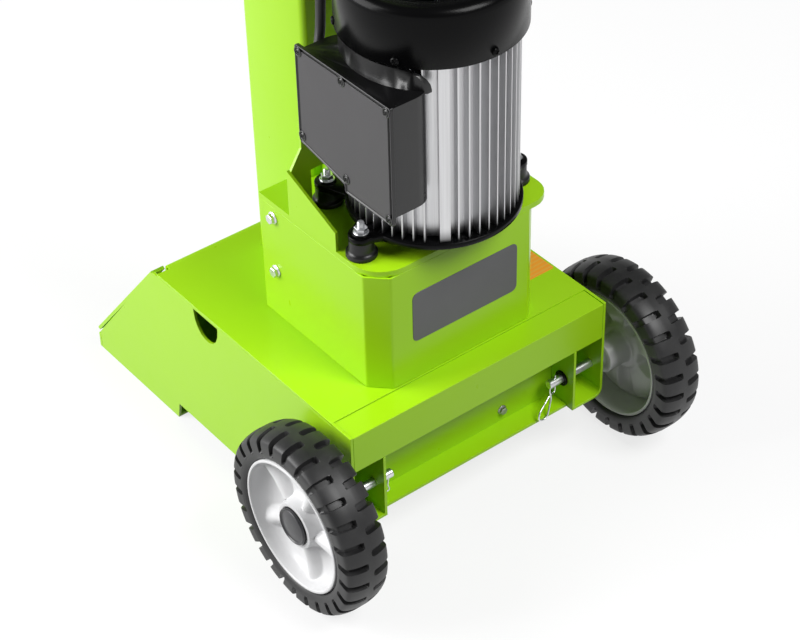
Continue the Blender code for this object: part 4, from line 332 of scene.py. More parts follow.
def stacked(outline, levels):
    """The outline at each (inset, height): a point moves inwards along its normal by inset."""
    along = np.roll(outline, -1, axis=0) - np.roll(outline, 1, axis=0)
    outward = np.column_stack([along[:, 1], -along[:, 0]]) / np.linalg.norm(along, axis=1, keepdims=True)
    area = np.sum(outline[:, 0] * np.roll(outline[:, 1], -1) - np.roll(outline[:, 0], -1) * outline[:, 1])
    outward = outward * np.sign(area)
    inset, height = np.asarray(levels, float).T
    flat = outline[None] - outward[None] * inset[:, None, None]
    level = np.broadcast_to(height[:, None, None], flat.shape[:2] + (1,))
    points, faces = sheet(np.concatenate([flat, level], axis=-1))
    count, last = len(outline), len(points) - len(outline)
    return points, faces + [list(range(count)), list(range(last, last + count))]


def soft_edge(low, high, radius, steps=5):
    """Levels for a slab whose upper edge is a quarter circle: inset r - r cos a, height r sin a."""
    bend = np.linspace(0, np.pi / 2, steps)
    top = np.column_stack([radius - radius * np.cos(bend), high - radius + radius * np.sin(bend)])
    return np.vstack([[(0.3 * MM, low), (0, low + 0.3 * MM)], top])


def facing(shape, axis):
    """Lay a shape of height Z on its side: (x, y, z) becomes (z, x, y) for X, (x, z, y) for Y."""
    x, y, z = shape[0].T
    return (np.column_stack([z, x, y]) if axis == "X" else np.column_stack([x, z, y])), shape[1]


print("rounded square:", len(rounded([(0, 0), (1, 0), (1, 1), (0, 1)], 0.1)), "points")

# %% [markdown]
# Bars, wires and the cable are a circle carried along a path. The ring's first direction is made
# from one fixed vector, the one that the path's own directions have least of, so the rings don't
# twist and no ring is skipped.

# %% Paths and tubes
def smooth_path(stops, spacing):
    """Points at an even spacing on a Catmull-Rom curve through the stops, in any dimension."""
    stops = np.asarray(stops, float)
    padded = np.vstack([2 * stops[0] - stops[1], stops, 2 * stops[-1] - stops[-2]])
    t = np.linspace(0, 1, 24, endpoint=False)[:, None]
    p0, p1, p2, p3 = (padded[k:len(padded) - 3 + k, None, :] for k in range(4))
    curve = 0.5 * (2 * p1 + (p2 - p0) * t + (2 * p0 - 5 * p1 + 4 * p2 - p3) * t ** 2
                   + (3 * p1 - p0 - 3 * p2 + p3) * t ** 3)
    curve = np.vstack([curve.reshape(-1, stops.shape[1]), stops[-1]])
    run = np.concatenate([[0], np.cumsum(np.linalg.norm(np.diff(curve, axis=0), axis=1))])
    at = np.linspace(0, run[-1], max(4, int(run[-1] / spacing)))
    return np.stack([np.interp(at, run, column) for column in curve.T], axis=-1)


def bent_path(stops, corner=0.03, steps=8):
    """Straight runs between the stops, each corner a parabola that starts one reach before it."""
    stops = np.asarray(stops, float)
    back, forth = stops[:-2] - stops[1:-1], stops[2:] - stops[1:-1]
    long_back, long_forth = (np.linalg.norm(run, axis=1, keepdims=True) for run in (back, forth))
    reach = np.minimum(corner, 0.45 * np.minimum(long_back, long_forth))
    start, end = stops[1:-1] + back / long_back * reach, stops[1:-1] + forth / long_forth * reach
    t = np.linspace(0, 1, steps)[None, :, None]
    curve = start[:, None] * (1 - t) ** 2 + stops[1:-1, None] * 2 * t * (1 - t) + end[:, None] * t ** 2
    return np.vstack([stops[:1], curve.reshape(-1, stops.shape[1]), stops[-1:]])


def tube(path, radius, sides=16):
    """Each ring is path + radius (side cos a + other sin a), across the path's own direction."""
    path = np.asarray(path, float)
    tangent = np.gradient(path, axis=0)
    tangent /= np.linalg.norm(tangent, axis=1, keepdims=True)
    fixed = np.linalg.svd(tangent)[2][-1]
    side = fixed - tangent * (tangent @ fixed)[:, None]
    side /= np.linalg.norm(side, axis=1, keepdims=True)
    other = np.cross(tangent, side)
    turn = np.linspace(0, 2 * np.pi, sides, endpoint=False)[None, :, None]
    radius = np.broadcast_to(np.asarray(radius, float), (len(path),))[:, None, None]
    rings = path[:, None] + radius * (side[:, None] * np.cos(turn) + other[:, None] * np.sin(turn))
    ends = [np.repeat(path[k:k + 1, None], sides, axis=1) for k in (0, len(path) - 1)]
    return sheet(np.concatenate([ends[0], rings, ends[1]]))


print("bend of three stops:", len(bent_path([(0, 0, 0), (0, 0, 1), (0, 1, 1)])), "points")

# %% [markdown]
# ## From shape to object
#
# Every new piece goes through one function. It merges doubled points, turns the faces outwards,
# marks sharp edges by their angle, gives the piece its finish and hangs it on a moving body.
# Sheet from the solid model is copied, joined up and given small rounded edges, because light
# caught on an edge is what makes painted steel look like steel.

# %% Dressing a mesh
PIECES = []


def round_edges(obj, width, segments=2, angle=30):
    """A live Bevel on the edges that turn by more than the angle."""
    bevel = obj.modifiers.new("rounded edges", "BEVEL")
    bevel.width = width
    bevel.segments = segments
    bevel.limit_method = "ANGLE"
    bevel.angle_limit = math.radians(angle)
    bevel.harden_normals = True
    bevel.use_clamp_overlap = True


def dressed(name, mesh, finish, body, stands_for, sharp, bevel):
    """Smooth shading up to the sharp angle, one finish, and the body that the piece rides on."""
    mesh.shade_smooth()
    mesh.set_sharp_from_angle(angle=math.radians(sharp))
    mesh.materials.clear()
    mesh.materials.append(finish)
    obj = bpy.data.objects.new(name, mesh)
    bpy.context.scene.collection.objects.link(obj)
    if bevel:
        round_edges(obj, bevel)
    if stands_for:
        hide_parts(*stands_for)
    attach(obj, body)
    PIECES.append(name)


print("merge, face outwards, finish, ride")

# %% [markdown]
# Two kinds of mesh are dressed. A new piece starts from points and faces, and its normals are
# worked out once it is closed. A copy of a solid node faces outwards already, but its triangles are
# loose, so they are merged into flat faces before a bevel can find the real edges.

# %% New pieces and softened copies
def piece(name, shape, finish, body, stands_for=(), sharp=35, bevel=0.0):
    """A shape as an object: doubles merged, poles closed and the faces turned outwards."""
    mesh = bpy.data.meshes.new(name)
    mesh.from_pydata(shape[0].tolist(), [], shape[1])
    bm = bmesh.new()
    bm.from_mesh(mesh)
    bmesh.ops.remove_doubles(bm, verts=bm.verts, dist=2e-6)
    bmesh.ops.dissolve_degenerate(bm, edges=bm.edges, dist=1e-7)
    bmesh.ops.recalc_face_normals(bm, faces=bm.faces)
    bm.to_mesh(mesh)
    bm.free()
    dressed(name, mesh, finish, body, stands_for, sharp, bevel)


def softened(node, finish, body, width=0.8 * MM):
    """A copy of a CAD node with its flat faces joined up and its edges rounded."""
    bm = bmesh.new()
    bm.from_mesh(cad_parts[node].data)
    bmesh.ops.remove_doubles(bm, verts=bm.verts, dist=1e-5)
    bmesh.ops.dissolve_limit(bm, angle_limit=math.radians(0.6), verts=bm.verts, edges=bm.edges)
    mesh = bpy.data.meshes.new(node + "_soft")
    bm.to_mesh(mesh)
    bm.free()
    dressed(node + "_soft", mesh, finish, body, [node], 34, width)


print("piece makers ready")

# %% [markdown]
# ## Finishes
#
# Each finish is one Principled shader and a few steps that say what a real surface does: a second
# colour here and there, a gloss that isn't quite even, and a small relief. They all read Object
# coordinates in metres, so a noise of scale 500 has grains of about 2 mm on every part.

# %% A finish
class Finish(Graph):
    """One procedural material; constants are set on the shader's own sockets."""

    def __init__(self, name, colour, rough, metal=0.0, specular=0.5):
        self.material = bpy.data.materials.new(name)
        super().__init__(self.material)
        self.colour = (*colour, 1.0)
        self.rough = rough
        self.relief = None
        self.shader = self.node("ShaderNodeBsdfPrincipled", None,
                                {"Base Color": self.colour, "Roughness": rough, "Metallic": metal,
                                 "Specular IOR Level": specular})
        self.node("ShaderNodeOutputMaterial", None, {"Surface": self.shader.outputs[0]})
        self.place = self.node("ShaderNodeTexCoord").outputs["Object"]

    def feed(self, name, socket):
        """Link a socket to one of the shader's inputs."""
        self.tree.links.new(socket, self.shader.inputs[name])

    def noise(self, scale, detail=2.0, stretch=(1, 1, 1)):
        """Noise between 0 and 1; a stretch below 1 draws it out along that axis."""
        place = self.node("ShaderNodeMapping", None, {"Vector": self.place, "Scale": stretch})
        return self.value("ShaderNodeTexNoise", None,
                          {"Vector": place.outputs[0], "Scale": scale, "Detail": detail}, "Fac")

    def along(self, letter):
        """The place along one axis, in metres."""
        return Value(self, self.node("ShaderNodeSeparateXYZ", None, {0: self.place}).outputs[letter])

    def tint(self, amount, colour):
        """Blend the colour so far towards another one by amount."""
        mix = self.node("ShaderNodeMix", {"data_type": "RGBA"},
                        {0: amount, 6: self.colour, 7: (*colour, 1.0)})
        self.colour = mix.outputs[2]
        self.feed("Base Color", self.colour)

    def gloss(self, mask, spread):
        """Roughness runs from half a spread below its value to half above it."""
        self.feed("Roughness", (mask * spread + (self.rough - spread / 2)).socket)

    def bump(self, height, depth, strength=0.5):
        """Raise the surface by height times depth, on top of the relief so far."""
        inputs = {"Height": height, "Distance": depth, "Strength": strength}
        if self.relief:
            inputs["Normal"] = self.relief
        self.relief = self.node("ShaderNodeBump", None, inputs).outputs[0]
        self.feed("Normal", self.relief)


print("finish class ready")

# %% [markdown]
# Powder paint is sprayed dry and melted in an oven. It covers evenly, with a faint orange peel
# that shows only in reflections, so its colour hardly changes and its relief is a few hundredths
# of a millimetre. The black parts have the same coat, thinner and glossier.

# %% Powder paints
def powder_paint(name, colour, pale, rough, specular, peel):
    """A coat with paler clouds, an uneven gloss, orange peel and long low waves."""
    finish = Finish(name, colour, rough, specular=specular)
    finish.tint(finish.noise(9.0).step(0.45, 0.75) * 0.10, pale)
    finish.gloss(finish.noise(45.0), 0.10)
    finish.bump(finish.noise(peel), 0.00005, 0.4)
    finish.bump(finish.noise(60.0), 0.00006, 0.15)
    return finish.material


GREEN = powder_paint("green_powder_paint", (0.345, 0.650, 0.006), (0.40, 0.70, 0.03), 0.30, 0.36, 520.0)
BLACK = powder_paint("black_powder_paint", (0.002, 0.002, 0.0022), (0.005, 0.005, 0.0054), 0.24, 0.09,
                     640.0)
print("paints:", GREEN.name, BLACK.name)

# %% [markdown]
# Moulded plastic copies the mould. The boxes' big faces come from a spark-eroded mould with a fine
# grain that spreads light into a grey sheen, and the wheels from a polished one with slow waves
# where the melt shrank. On the terminal box's lid the face and the bead round it are grained, and
# the groove between them is polished and dark. The lid is the box's black plastic: the grey of its
# face is a painted sheen, and the grey top of the bead is a painted glint line. So the lid's colour
# and finish change with the distance along X, just below the height of the face.

# %% Plastics
def moulded(name, colour, rough, grain=1500.0, depth=0.00006, specular=0.5):
    """A plastic with faint lighter clouds, an uneven gloss and the mould's fine grain."""
    finish = Finish(name, colour, rough, specular=specular)
    handled = tuple(min(1.0, channel * 1.35 + 0.001) for channel in colour)
    finish.tint(finish.noise(28.0, 3.0).step(0.45, 0.8) * 0.2, handled)
    finish.gloss(finish.noise(60.0), 0.12)
    finish.bump(finish.noise(grain), depth)
    return finish


LID_FACE = 0.123
lid = Finish("lid_plastic_grain_and_painted_sheen", (0.003, 0.003, 0.0033), 0.40, specular=0.45)
grain_and_sheen = lid.along("X").step(LID_FACE - 0.30 * MM, LID_FACE - 0.05 * MM)
# Face and bead top painted grey: a painted sheen on the black plastic and a painted glint line on the bead.
lid.tint(grain_and_sheen, (0.050, 0.048, 0.051))
lid.tint(lid.noise(20.0, 3.0).step(0.4, 0.8) * grain_and_sheen * 0.25, (0.066, 0.064, 0.068))
lid.gloss(grain_and_sheen, 0.24)
lid.bump(lid.noise(1300.0) * grain_and_sheen, 0.00006)
LID = lid.material
CASING = moulded("black_box_plastic", (0.0035, 0.0035, 0.0038), 0.30, 900.0, 0.00003, 0.5).material
GREY_CASING = moulded("dark_grey_plastic", (0.040, 0.039, 0.041), 0.40).material
CAP_PLASTIC = moulded("wheel_cap_plastic", (0.036, 0.0355, 0.039), 0.36).material
OFF_WHITE = moulded("off_white_plastic", (0.70, 0.69, 0.64), 0.42).material
START_GREEN = moulded("start_button_plastic", (0.02, 0.36, 0.06), 0.33).material
STOP_RED = moulded("stop_button_plastic", (0.58, 0.02, 0.02), 0.33).material
wheel = moulded("wheel_plastic", (0.66, 0.66, 0.665), 0.33, 900.0, 0.00002)
wheel.bump(wheel.noise(45.0, 1.0), 0.00015, 0.25)
WHEEL = wheel.material
print("plastics ready, lid face at x =", LID_FACE)

# %% [markdown]
# Rubber is dull and a little dusty. The tyre's skin has a fine pebble, and a pale bloom lies on it
# in patches, which is why new tyres look grey and not black. The buffers, grips and the cable are
# cleaner and smoother.

# %% Rubbers
def rubber(name, colour, bloom, rough, pebble, depth):
    """A rubber with a pale bloom in patches, duller where the bloom lies, and a fine pebble."""
    finish = Finish(name, colour, rough, specular=0.42)
    patches = finish.noise(40.0, 4.0)
    finish.tint(patches.step(0.35, 0.75) * 0.5, bloom)
    finish.gloss(patches, 0.16)
    finish.bump(finish.noise(pebble), depth)
    return finish.material


TYRE = rubber("tyre_rubber", (0.016, 0.016, 0.0165), (0.032, 0.0315, 0.032), 0.44, 900.0, 0.00007)
RUBBER = rubber("buffer_rubber", (0.003, 0.003, 0.003), (0.008, 0.008, 0.008), 0.34, 700.0, 0.00003)
CABLE = rubber("cable_rubber", (0.008, 0.008, 0.008), (0.018, 0.018, 0.018), 0.45, 1100.0, 0.00003)
print("rubbers ready")

# %% [markdown]
# Bare metal shows how it was made. The fins were pressed through a die, so their marks run along
# Z: the noise is drawn out a hundredfold in that direction. Within 2 cm of the black flange the
# fins are darkened: this is painted shade and a painted reflection of the black flange at their foot,
# and partly the flange's black paint running up into the gaps. Castings are pebbled, zinc is bright
# and spotty, and ground rods have fine marks along their length.

# %% Metals
def metal(name, colour, rough, stretch=(1, 1, 1), grain=600.0, depth=0.00003):
    """A bare metal whose marks darken it, dull it and dent it together."""
    finish = Finish(name, colour, rough, 1.0)
    marks = finish.noise(grain, 3.0, stretch)
    finish.tint(marks.step(0.3, 0.8) * 0.35, tuple(channel * 0.72 for channel in colour))
    finish.gloss(marks, 0.2)
    finish.bump(marks, depth)
    return finish


FLANGE_TOP = 0.4483  # where the fins meet the black flange
fins = metal("extruded_aluminium", (0.66, 0.66, 0.67), 0.38, (1, 1, 0.01), 700.0)
# Painted shade and reflection at the fins' foot by the black flange, partly its black paint in the gaps.
fins.tint((1 - fins.along("Z").step(FLANGE_TOP - 0.004, FLANGE_TOP + 0.022)) * 0.88, (0.02, 0.02, 0.02))
FINS = fins.material
CAST = metal("cast_aluminium", (0.60, 0.61, 0.63), 0.48, grain=900.0, depth=0.00008).material
ZINC = metal("zinc_plating", (0.70, 0.71, 0.73), 0.32, grain=260.0, depth=0.000006).material
DULL_ZINC = metal("dull_zinc", (0.34, 0.34, 0.34), 0.42, grain=500.0).material
STEEL = metal("machined_steel", (0.42, 0.42, 0.44), 0.38, (1, 1, 0.1), 500.0).material
CHROME = metal("hard_chrome", (0.82, 0.83, 0.85), 0.14, (1, 1, 0.05), 300.0, 0.00001).material
print("metals ready, flange top at z =", FLANGE_TOP)

# %% [markdown]
# ## Painting the solid model
#
# Every node of the frame gets its real finish, also those that a finer piece will stand in for,
# because a node that is hidden here may be used again elsewhere.

# %% Finishes of the nodes
SIDES = ((1, "left"), (-1, "right"))


def both(*names):
    """The names of the left and the right one of each pair."""
    return [f"{name}_{label}" for name in names for _, label in SIDES]


SHEET_NODES = both("side_plate", "axle_bracket") + ["deck_plate", "base_plate", "rear_beam",
                                                    "rear_cross_plate", "motor_bracket", "oil_tank"]
NODE_FINISHES = {
    GREEN: SHEET_NODES + both("arm_bracket") + ["column", "ram", "pump_cover"],
    BLACK: both("control_arm", "log_claw") + ["splitting_wedge", "motor_flange", "fan_cover",
                                              "transport_handle"],
    CASING: ["terminal_box", "dipstick_cap", "cooling_fan"],
    GREY_CASING: ["switch_box", "power_inlet"],
    LID: ["terminal_box_lid"],
    CAP_PLASTIC: both("hub_cap"),
    WHEEL: both("wheel"),
    OFF_WHITE: ["guide_collar", "run_capacitor"],
    RUBBER: [f"motor_mount_{number}" for number in (1, 2, 3, 4)] + both("grip"),
    CABLE: ["motor_lead"],
    TYRE: both("tyre"),
    ZINC: both("axle") + ["stroke_rod", "valve_rod"],
    DULL_ZINC: ["drain_plug"],
    STEEL: ["cylinder_barrel", "motor_rotor", "pump_pipe", "cylinder_pipe"],
    CHROME: ["piston_rod"],
    CAST: ["motor_body", "motor_end_shield", "gear_pump", "valve_block"],
    START_GREEN: ["start_button"],
    STOP_RED: ["stop_button"],
}
for finish, nodes in NODE_FINISHES.items():
    for node in nodes:
        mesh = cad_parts[node].data
        mesh.materials.clear()
        mesh.materials.append(finish)
print("painted", sum(map(len, NODE_FINISHES.values())), "nodes of", len(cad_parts))

# %% [markdown]
# ## Tyres
#
# The tyre is a solid rubber ring. Its outer section runs from the bead up a flat side wall, round
# a firm shoulder and over a nearly flat crown. Twenty-six slots are cut from each side: each runs
# from a rounded end beside the plain middle band, over the shoulder and down the side wall, and
# the two rows are half a pitch apart. Cutting them with Booleans would leave ragged edges, so the
# whole tyre is one grid. Every row knows the slot's depth at that place of the section, and the
# grid's lines across the tread are placed exactly on the slots' walls.

# %% Tyre section
WHEEL_X, AXLE_Y, AXLE_Z = 0.257, 0.228, 0.125
BEAD_RADIUS, BEAD_OFFSET = 91.2, 24.6
# Each row is in mm: the radius, the offset from the wheel's middle plane, and how far the slot's
# floor lies inwards and sideways there.
HALF_SECTION = np.array([
    (BEAD_RADIUS, BEAD_OFFSET, 0, 0), (93.0, 27.6, 0, 0), (96.5, 29.8, 0, 0), (100.5, 30.8, 0, 0.2),
    (102.6, 31, 0, 3.4), (106, 31, 0.3, 4.8), (111, 31, 1.2, 5.6), (115.2, 30.6, 3.0, 5.8),
    (118, 29.5, 4.8, 5.2), (120.3, 26.8, 6.4, 3.6), (122.4, 22.0, 7.6, 1.9), (124.1, 15.3, 8.2, 0.7),
    (124.9, 9, 8.4, 0.1), (125, 5, 8.4, 0), (125, 0, 8.4, 0)])


def tyre_section():
    """The half section and its mirror image as one smooth path of about a hundred rows."""
    mirrored = HALF_SECTION[-2::-1] * [1, -1, 1, -1]
    return smooth_path(np.vstack([HALF_SECTION, mirrored]), 1.35) * MM


print("rows across the tyre:", len(tyre_section()))

# %% [markdown]
# A slot is a strip with round ends. Its depth falls from 1 to 0 between two distances from its
# middle line, which are measured as shares of a pitch. Along the tread the two ends are where the
# plain band begins and where the side wall becomes smooth. The slots also lean a little.

# %% Slots
PITCHES = 26
SLOT_FLOOR, SLOT_WALL = 0.146, 0.170
BAND_HALF, SMOOTH_WALL = 8.6 * MM, 105.0 * MM
SHOULDER_RADIUS, CROWN_HALF = 116 * MM, 29 * MM


def slot_depth(pitch, radius, offset):
    """1 on a slot's floor, 0 outside: the distance from its middle line, with round ends."""
    outer = offset > 0
    fraction = np.mod(pitch + np.where(outer, 0.5, 0.0) + 0.5, 1.0) - 0.5
    inner_end = np.clip(BAND_HALF - np.abs(offset), 0, None) / (30.2 * MM)
    wall_end = np.clip(SMOOTH_WALL - radius, 0, None) / (26.0 * MM)
    return 1 - ease(np.hypot(fraction, inner_end + wall_end), SLOT_FLOOR, SLOT_WALL)


def slot_lean(radius, offset):
    """How far a slot is turned at a place, in pitches: along the crown, and down the side wall."""
    crown = 0.05 * (np.abs(offset) / CROWN_HALF - 1)
    return np.where(radius > SHOULDER_RADIUS, crown, (SHOULDER_RADIUS - radius) / (13 * MM) * 0.09)


def about_axle(side, radius, offset, turn):
    """x = side (wheel's middle + offset), y = axle + radius cos t, z = axle + radius sin t."""
    return np.stack([side * (WHEEL_X + offset), AXLE_Y + radius * np.cos(turn),
                     AXLE_Z + radius * np.sin(turn)], axis=-1)


def tyre_shape(side):
    """Radius and offset less the slot's depth, turned about the axle, and four rows along the bead."""
    radius, offset, inwards, sideways = (column[:, None] for column in tyre_section().T)
    near = np.array([0, 0.073, SLOT_FLOOR, SLOT_WALL, 0.21, 0.25, 0.29, 0.330, 0.354, 0.427])
    pitch = (np.arange(PITCHES)[:, None] + np.concatenate([near, near + 0.5])).reshape(1, -1)
    cut = slot_depth(pitch, radius, offset)
    turn = (pitch + slot_lean(radius, offset)) * 2 * np.pi / PITCHES
    radius, offset = radius - cut * inwards, offset - cut * sideways
    bead = np.linspace(-BEAD_OFFSET, BEAD_OFFSET, 4)[:, None] * MM
    radius = np.vstack([radius, np.full((4, radius.shape[1]), BEAD_RADIUS * MM)])
    offset = np.vstack([offset, bead + 0 * turn[:4]])
    turn = np.vstack([turn, np.repeat(turn[:1], 4, axis=0)])
    return sheet(about_axle(side, radius, offset, turn), wrap_rows=True)


print("points on one tyre:", len(tyre_shape(1)[0]))

# %% [markdown]
# ## Wheels
#
# Each wheel is one moulding: a rim with a thin rounded lip, a dish, a boss and five broad ridges
# between boss and rim. A ridge's crest is round, but it meets the dish in a crisp crease, so its
# cross-section is a parabola and not a bell curve. The outer face is the higher of the dish and
# the ridges at every point of a polar grid. The back follows the outer face at the wall's
# thickness, which leaves the ridges hollow behind, as a moulder makes them.

# %% Wheel heights
RIDGES, FIRST_RIDGE = 5, math.radians(-4)


def dish_height(radius):
    """Height of the dish, boss and lip over the wheel's middle plane, in mm."""
    stops = [(25.2, 22.2), (26, 23), (30.4, 23), (31.4, 22.2), (32.4, 17), (34.5, 10), (38.5, 5.4),
             (46, 3.6), (58, 3.2), (68, 4.6), (75, 7.4), (80, 12), (83.2, 18), (85.4, 24.6),
             (86.6, 28.2), (87.4, 28.9), (89.6, 28.9), (90.4, 28.3), (90.8, 27.2)]
    curve = smooth_path(stops, 0.8)
    return np.interp(radius, curve[:, 0], curve[:, 1])


def outer_height(radius, turn):
    """The smooth maximum of the dish and of five parabolas, (a + b + sqrt((a - b)^2 + k^2)) / 2."""
    share = 2 * np.pi / RIDGES
    away = (turn - FIRST_RIDGE + share / 2) % share - share / 2
    half_width = np.interp(radius, [31, 45, 80], [12.5, 14.5, 20.0])
    crest = np.interp(radius, [31, 60, 84], [17.5, 16.0, 17.5])
    ridge = crest - 16.5 * (away * radius / half_width) ** 2
    dish = dish_height(radius)
    gentle = 1.6 * ease(radius, 34, 40) * (1 - ease(radius, 82, 86))
    lifted = (dish + ridge + np.sqrt((dish - ridge) ** 2 + gentle ** 2)) / 2
    return np.where((radius > 33) & (radius < 86), lifted, dish)


crest, valley = outer_height(np.array([60.0]), np.radians([-4.0, 32.0]))
print("crest and valley at 60 mm:", round(float(crest), 1), round(float(valley), 1))

# %% [markdown]
# The wheel's skin goes from the cap's recess over the outer face to the lip, round the rim, along
# the back and through the bore to where it began, so it is one grid that is closed both ways. The
# cap is a turned piece of its own, as on the real wheel, where it snaps over the axle's end.

# %% Wheel and cap
def wheel_shape(side):
    """Outer face from the cap's recess to the lip, rim, back face and bore, closed into one skin."""
    turn = np.linspace(0, 2 * np.pi, 480, endpoint=False)[None, :]
    outer = np.concatenate([np.linspace(25.2, 38, 18), np.linspace(40, 80, 24),
                            np.linspace(81, 90.8, 18)])[:, None]
    back = np.concatenate([np.linspace(84.0, 42, 26), np.linspace(40, 24, 8)])[:, None]
    solid = 1 - ease(back, 30, 40)
    behind = (outer_height(back, turn) - 4.2 - 3 * ease(back, 80, 84)) * (1 - solid) - 1.5 * solid
    rim = np.array([(90.8, -25.8), (90.2, -26.8), (87.4, -26.8), (86.6, -26.0), (86.0, -20), (85.4, 0),
                    (84.8, 6)])
    hub = np.array([(23.2, -2.2), (22.4, -6), (22.3, -36.2), (21.6, -36.9), (7.2, -36.9), (6.7, -36.4),
                    (6.7, 14.6), (7, 14.9), (24.6, 14.9), (25.1, 15.4)])
    radius = np.vstack([outer, rim[:, :1], back, hub[:, :1]]) * MM + 0 * turn
    offset = np.vstack([outer_height(outer, turn), rim[:, 1:] + 0 * turn, behind,
                        hub[:, 1:] + 0 * turn]) * MM
    return sheet(about_axle(side, radius, offset, turn), wrap_rows=True)


def on_axle(side, shape, middle=0.0):
    """Lay a turned shape on the axle: (x, y, z) becomes (side (middle + z), axle + x, axle + y)."""
    x, y, z = shape[0].T
    return np.column_stack([side * (middle + z), AXLE_Y + x, AXLE_Z + y]), shape[1]


def cap_shape(side):
    """A snap-in cap: a rolled rim round a shallow dome."""
    dome = smooth_path([(0, 28.6), (8, 28.4), (15, 27.5), (19.5, 26.4), (21.4, 26.1), (22.4, 27.0),
                        (23.4, 27.9), (24.4, 27.5), (24.9, 26.4), (25, 25.0)], 0.6)
    skirt = [(25, 24.2), (24.7, 23.9), (22.8, 23.8), (22.8, 15.6), (22.2, 15.2), (0, 15.2)]
    return on_axle(side, turned(np.vstack([dome, skirt]) * MM, 96), WHEEL_X)


for side, label in SIDES:
    body = "wheel_" + label
    piece("slotted_tyre_" + label, tyre_shape(side), TYRE, body, ["tyre_" + label], sharp=48)
    piece("moulded_wheel_" + label, wheel_shape(side), WHEEL, body, ["wheel_" + label],
          sharp=50)
    piece("wheel_cap_" + label, cap_shape(side), CAP_PLASTIC, body, ["hub_cap_" + label])
print("wheels made:", PIECES[-6:])

# %% [markdown]
# ## Welded sheet and the column
#
# The flat solids have the right shapes already. What they lack is the small radius that shearing
# and shot blasting leave on every edge, so each is copied, joined up and given a live bevel of
# less than a millimetre. The moulded boxes get a larger one.

# %% Sheet with rounded edges
for node in SHEET_NODES:
    softened(node, GREEN, "base", 0.7 * MM)
for node in ["column"] + both("arm_bracket"):
    softened(node, GREEN, "base", 0.8 * MM)
softened("ram", GREEN, "ram", 1.0 * MM)
softened("splitting_wedge", BLACK, "ram", 0.5 * MM)
softened("valve_rod", ZINC, "valve", 0.5 * MM)
softened("guide_collar", OFF_WHITE, "base", 0.6 * MM)
softened("dipstick_cap", CASING, "base", 0.6 * MM)
softened("terminal_box", CASING, "base", 1.6 * MM)
softened("switch_box", GREY_CASING, "base", 1.5 * MM)
print("softened", len(PIECES), "pieces so far")

# %% [markdown]
# ## Pump cover
#
# One sheet of steel is folded four times round the pump. A press brake leaves a tight radius, so
# the folds are crisp but not sharp. The cover's plan is a path with rounded corners, the wall is
# the same path one sheet thickness further in, and the pair is carried straight up.

# %% Folded pump cover
COVER_HALF, COVER_FRONT, COVER_REAR = 0.132, -0.024, 0.210
COVER_LOW, COVER_HIGH = 0.2383, 0.4087


def folded_plan(inset, reach):
    """The cover's plan seen from above: two sides, two cut corners and the rear, in metres."""
    wall, rear, cut = COVER_HALF - inset, COVER_REAR - inset, 0.024 - inset * 0.586
    stops = [(wall, COVER_FRONT, 0), (wall, rear - cut, 0), (wall - cut, rear, 0), (cut - wall, rear, 0),
             (-wall, rear - cut, 0), (-wall, COVER_FRONT, 0)]
    return bent_path(stops, reach, 6)[:, :2]


plan = np.vstack([folded_plan(0, 2.6 * MM), folded_plan(3 * MM, 1.4 * MM)[::-1]])
piece("folded_pump_cover", stacked(plan, [(0, COVER_LOW), (0, COVER_HIGH)]), GREEN, "base",
      ["pump_cover"], sharp=20, bevel=0.5 * MM)
print("cover outline:", len(plan), "points")

# %% [markdown]
# ## Bolts, screws and washers
#
# Fasteners repeat, so each kind is one function. A flange bolt is a hexagon on a sloping washer
# face. A pan head screw is a low dome with a cross recess pressed into it. A stud's end shows its
# thread as shallow rings.

# %% Fastener shapes
def ring(inner, outer, low, high, edge=0.4 * MM, steps=40):
    """A washer: a turned rectangle whose outer upper edge is chamfered by edge."""
    profile = [(inner, low), (outer, low), (outer, high - edge), (outer - edge, high), (inner, high)]
    return turned(profile, steps, closed=True)


def hexagon(across, low, high, chamfer=0.6 * MM):
    """A nut or bolt head: six corners at across / sqrt(3), trimmed at the top."""
    turn = np.radians(np.arange(6) * 60)
    corners = np.column_stack([np.cos(turn), np.sin(turn)]) * across / math.sqrt(3)
    return stacked(corners, [(0, low), (0, high - chamfer), (chamfer * 1.3, high)])


def flange_bolt(size):
    """Hexagon head on a round, sloping flange; size is the thread's diameter."""
    flange = turned(np.array([(0, 0), (1.07, 0), (1.09, 0.10), (0.98, 0.22), (0.80, 0.30),
                              (0, 0.30)]) * size, 40)
    dimple = turned(np.array([(0, 0.84), (0.42, 0.84), (0.46, 0.80), (0, 0.80)]) * size, 24)
    return joined(flange, hexagon(size * 1.52, size * 0.2, size * 0.85), dimple)


def pan_screw(radius, height):
    """A low dome whose top carries a cross: the grid dips where |x| or |y| is small."""
    share = np.array([0, 0.12, 0.24, 0.36, 0.48, 0.6, 0.72, 0.84, 0.93, 0.98, 1.0, 1.0, 0.0])[:, None]
    turn = np.linspace(0, 2 * np.pi, 48, endpoint=False)[None, :]
    x, y = share * np.cos(turn), share * np.sin(turn)
    cross = (1 - ease(np.minimum(np.abs(x), np.abs(y)), 0.09, 0.17)) * (1 - ease(share, 0.52, 0.64))
    top = np.arange(len(share))[:, None] < len(share) - 2
    dome = np.where(share < 1, 1 - 0.55 * share ** 4, 0.4) - 0.5 * cross
    level = np.where(top, dome, 0.0) * height
    return sheet(np.stack([x * radius, y * radius, level + 0 * turn], axis=-1))


def stud_end(radius, low, high):
    """A threaded end: every other ring is a ninth smaller, and the tip is chamfered."""
    height = np.linspace(low, high - 1.0 * MM, 14)
    rows = np.column_stack([radius * (1 - 0.11 * (np.arange(14) % 2)), height])
    return turned(np.vstack([[0, low], rows, [radius * 0.72, high], [0, high]]), 24)


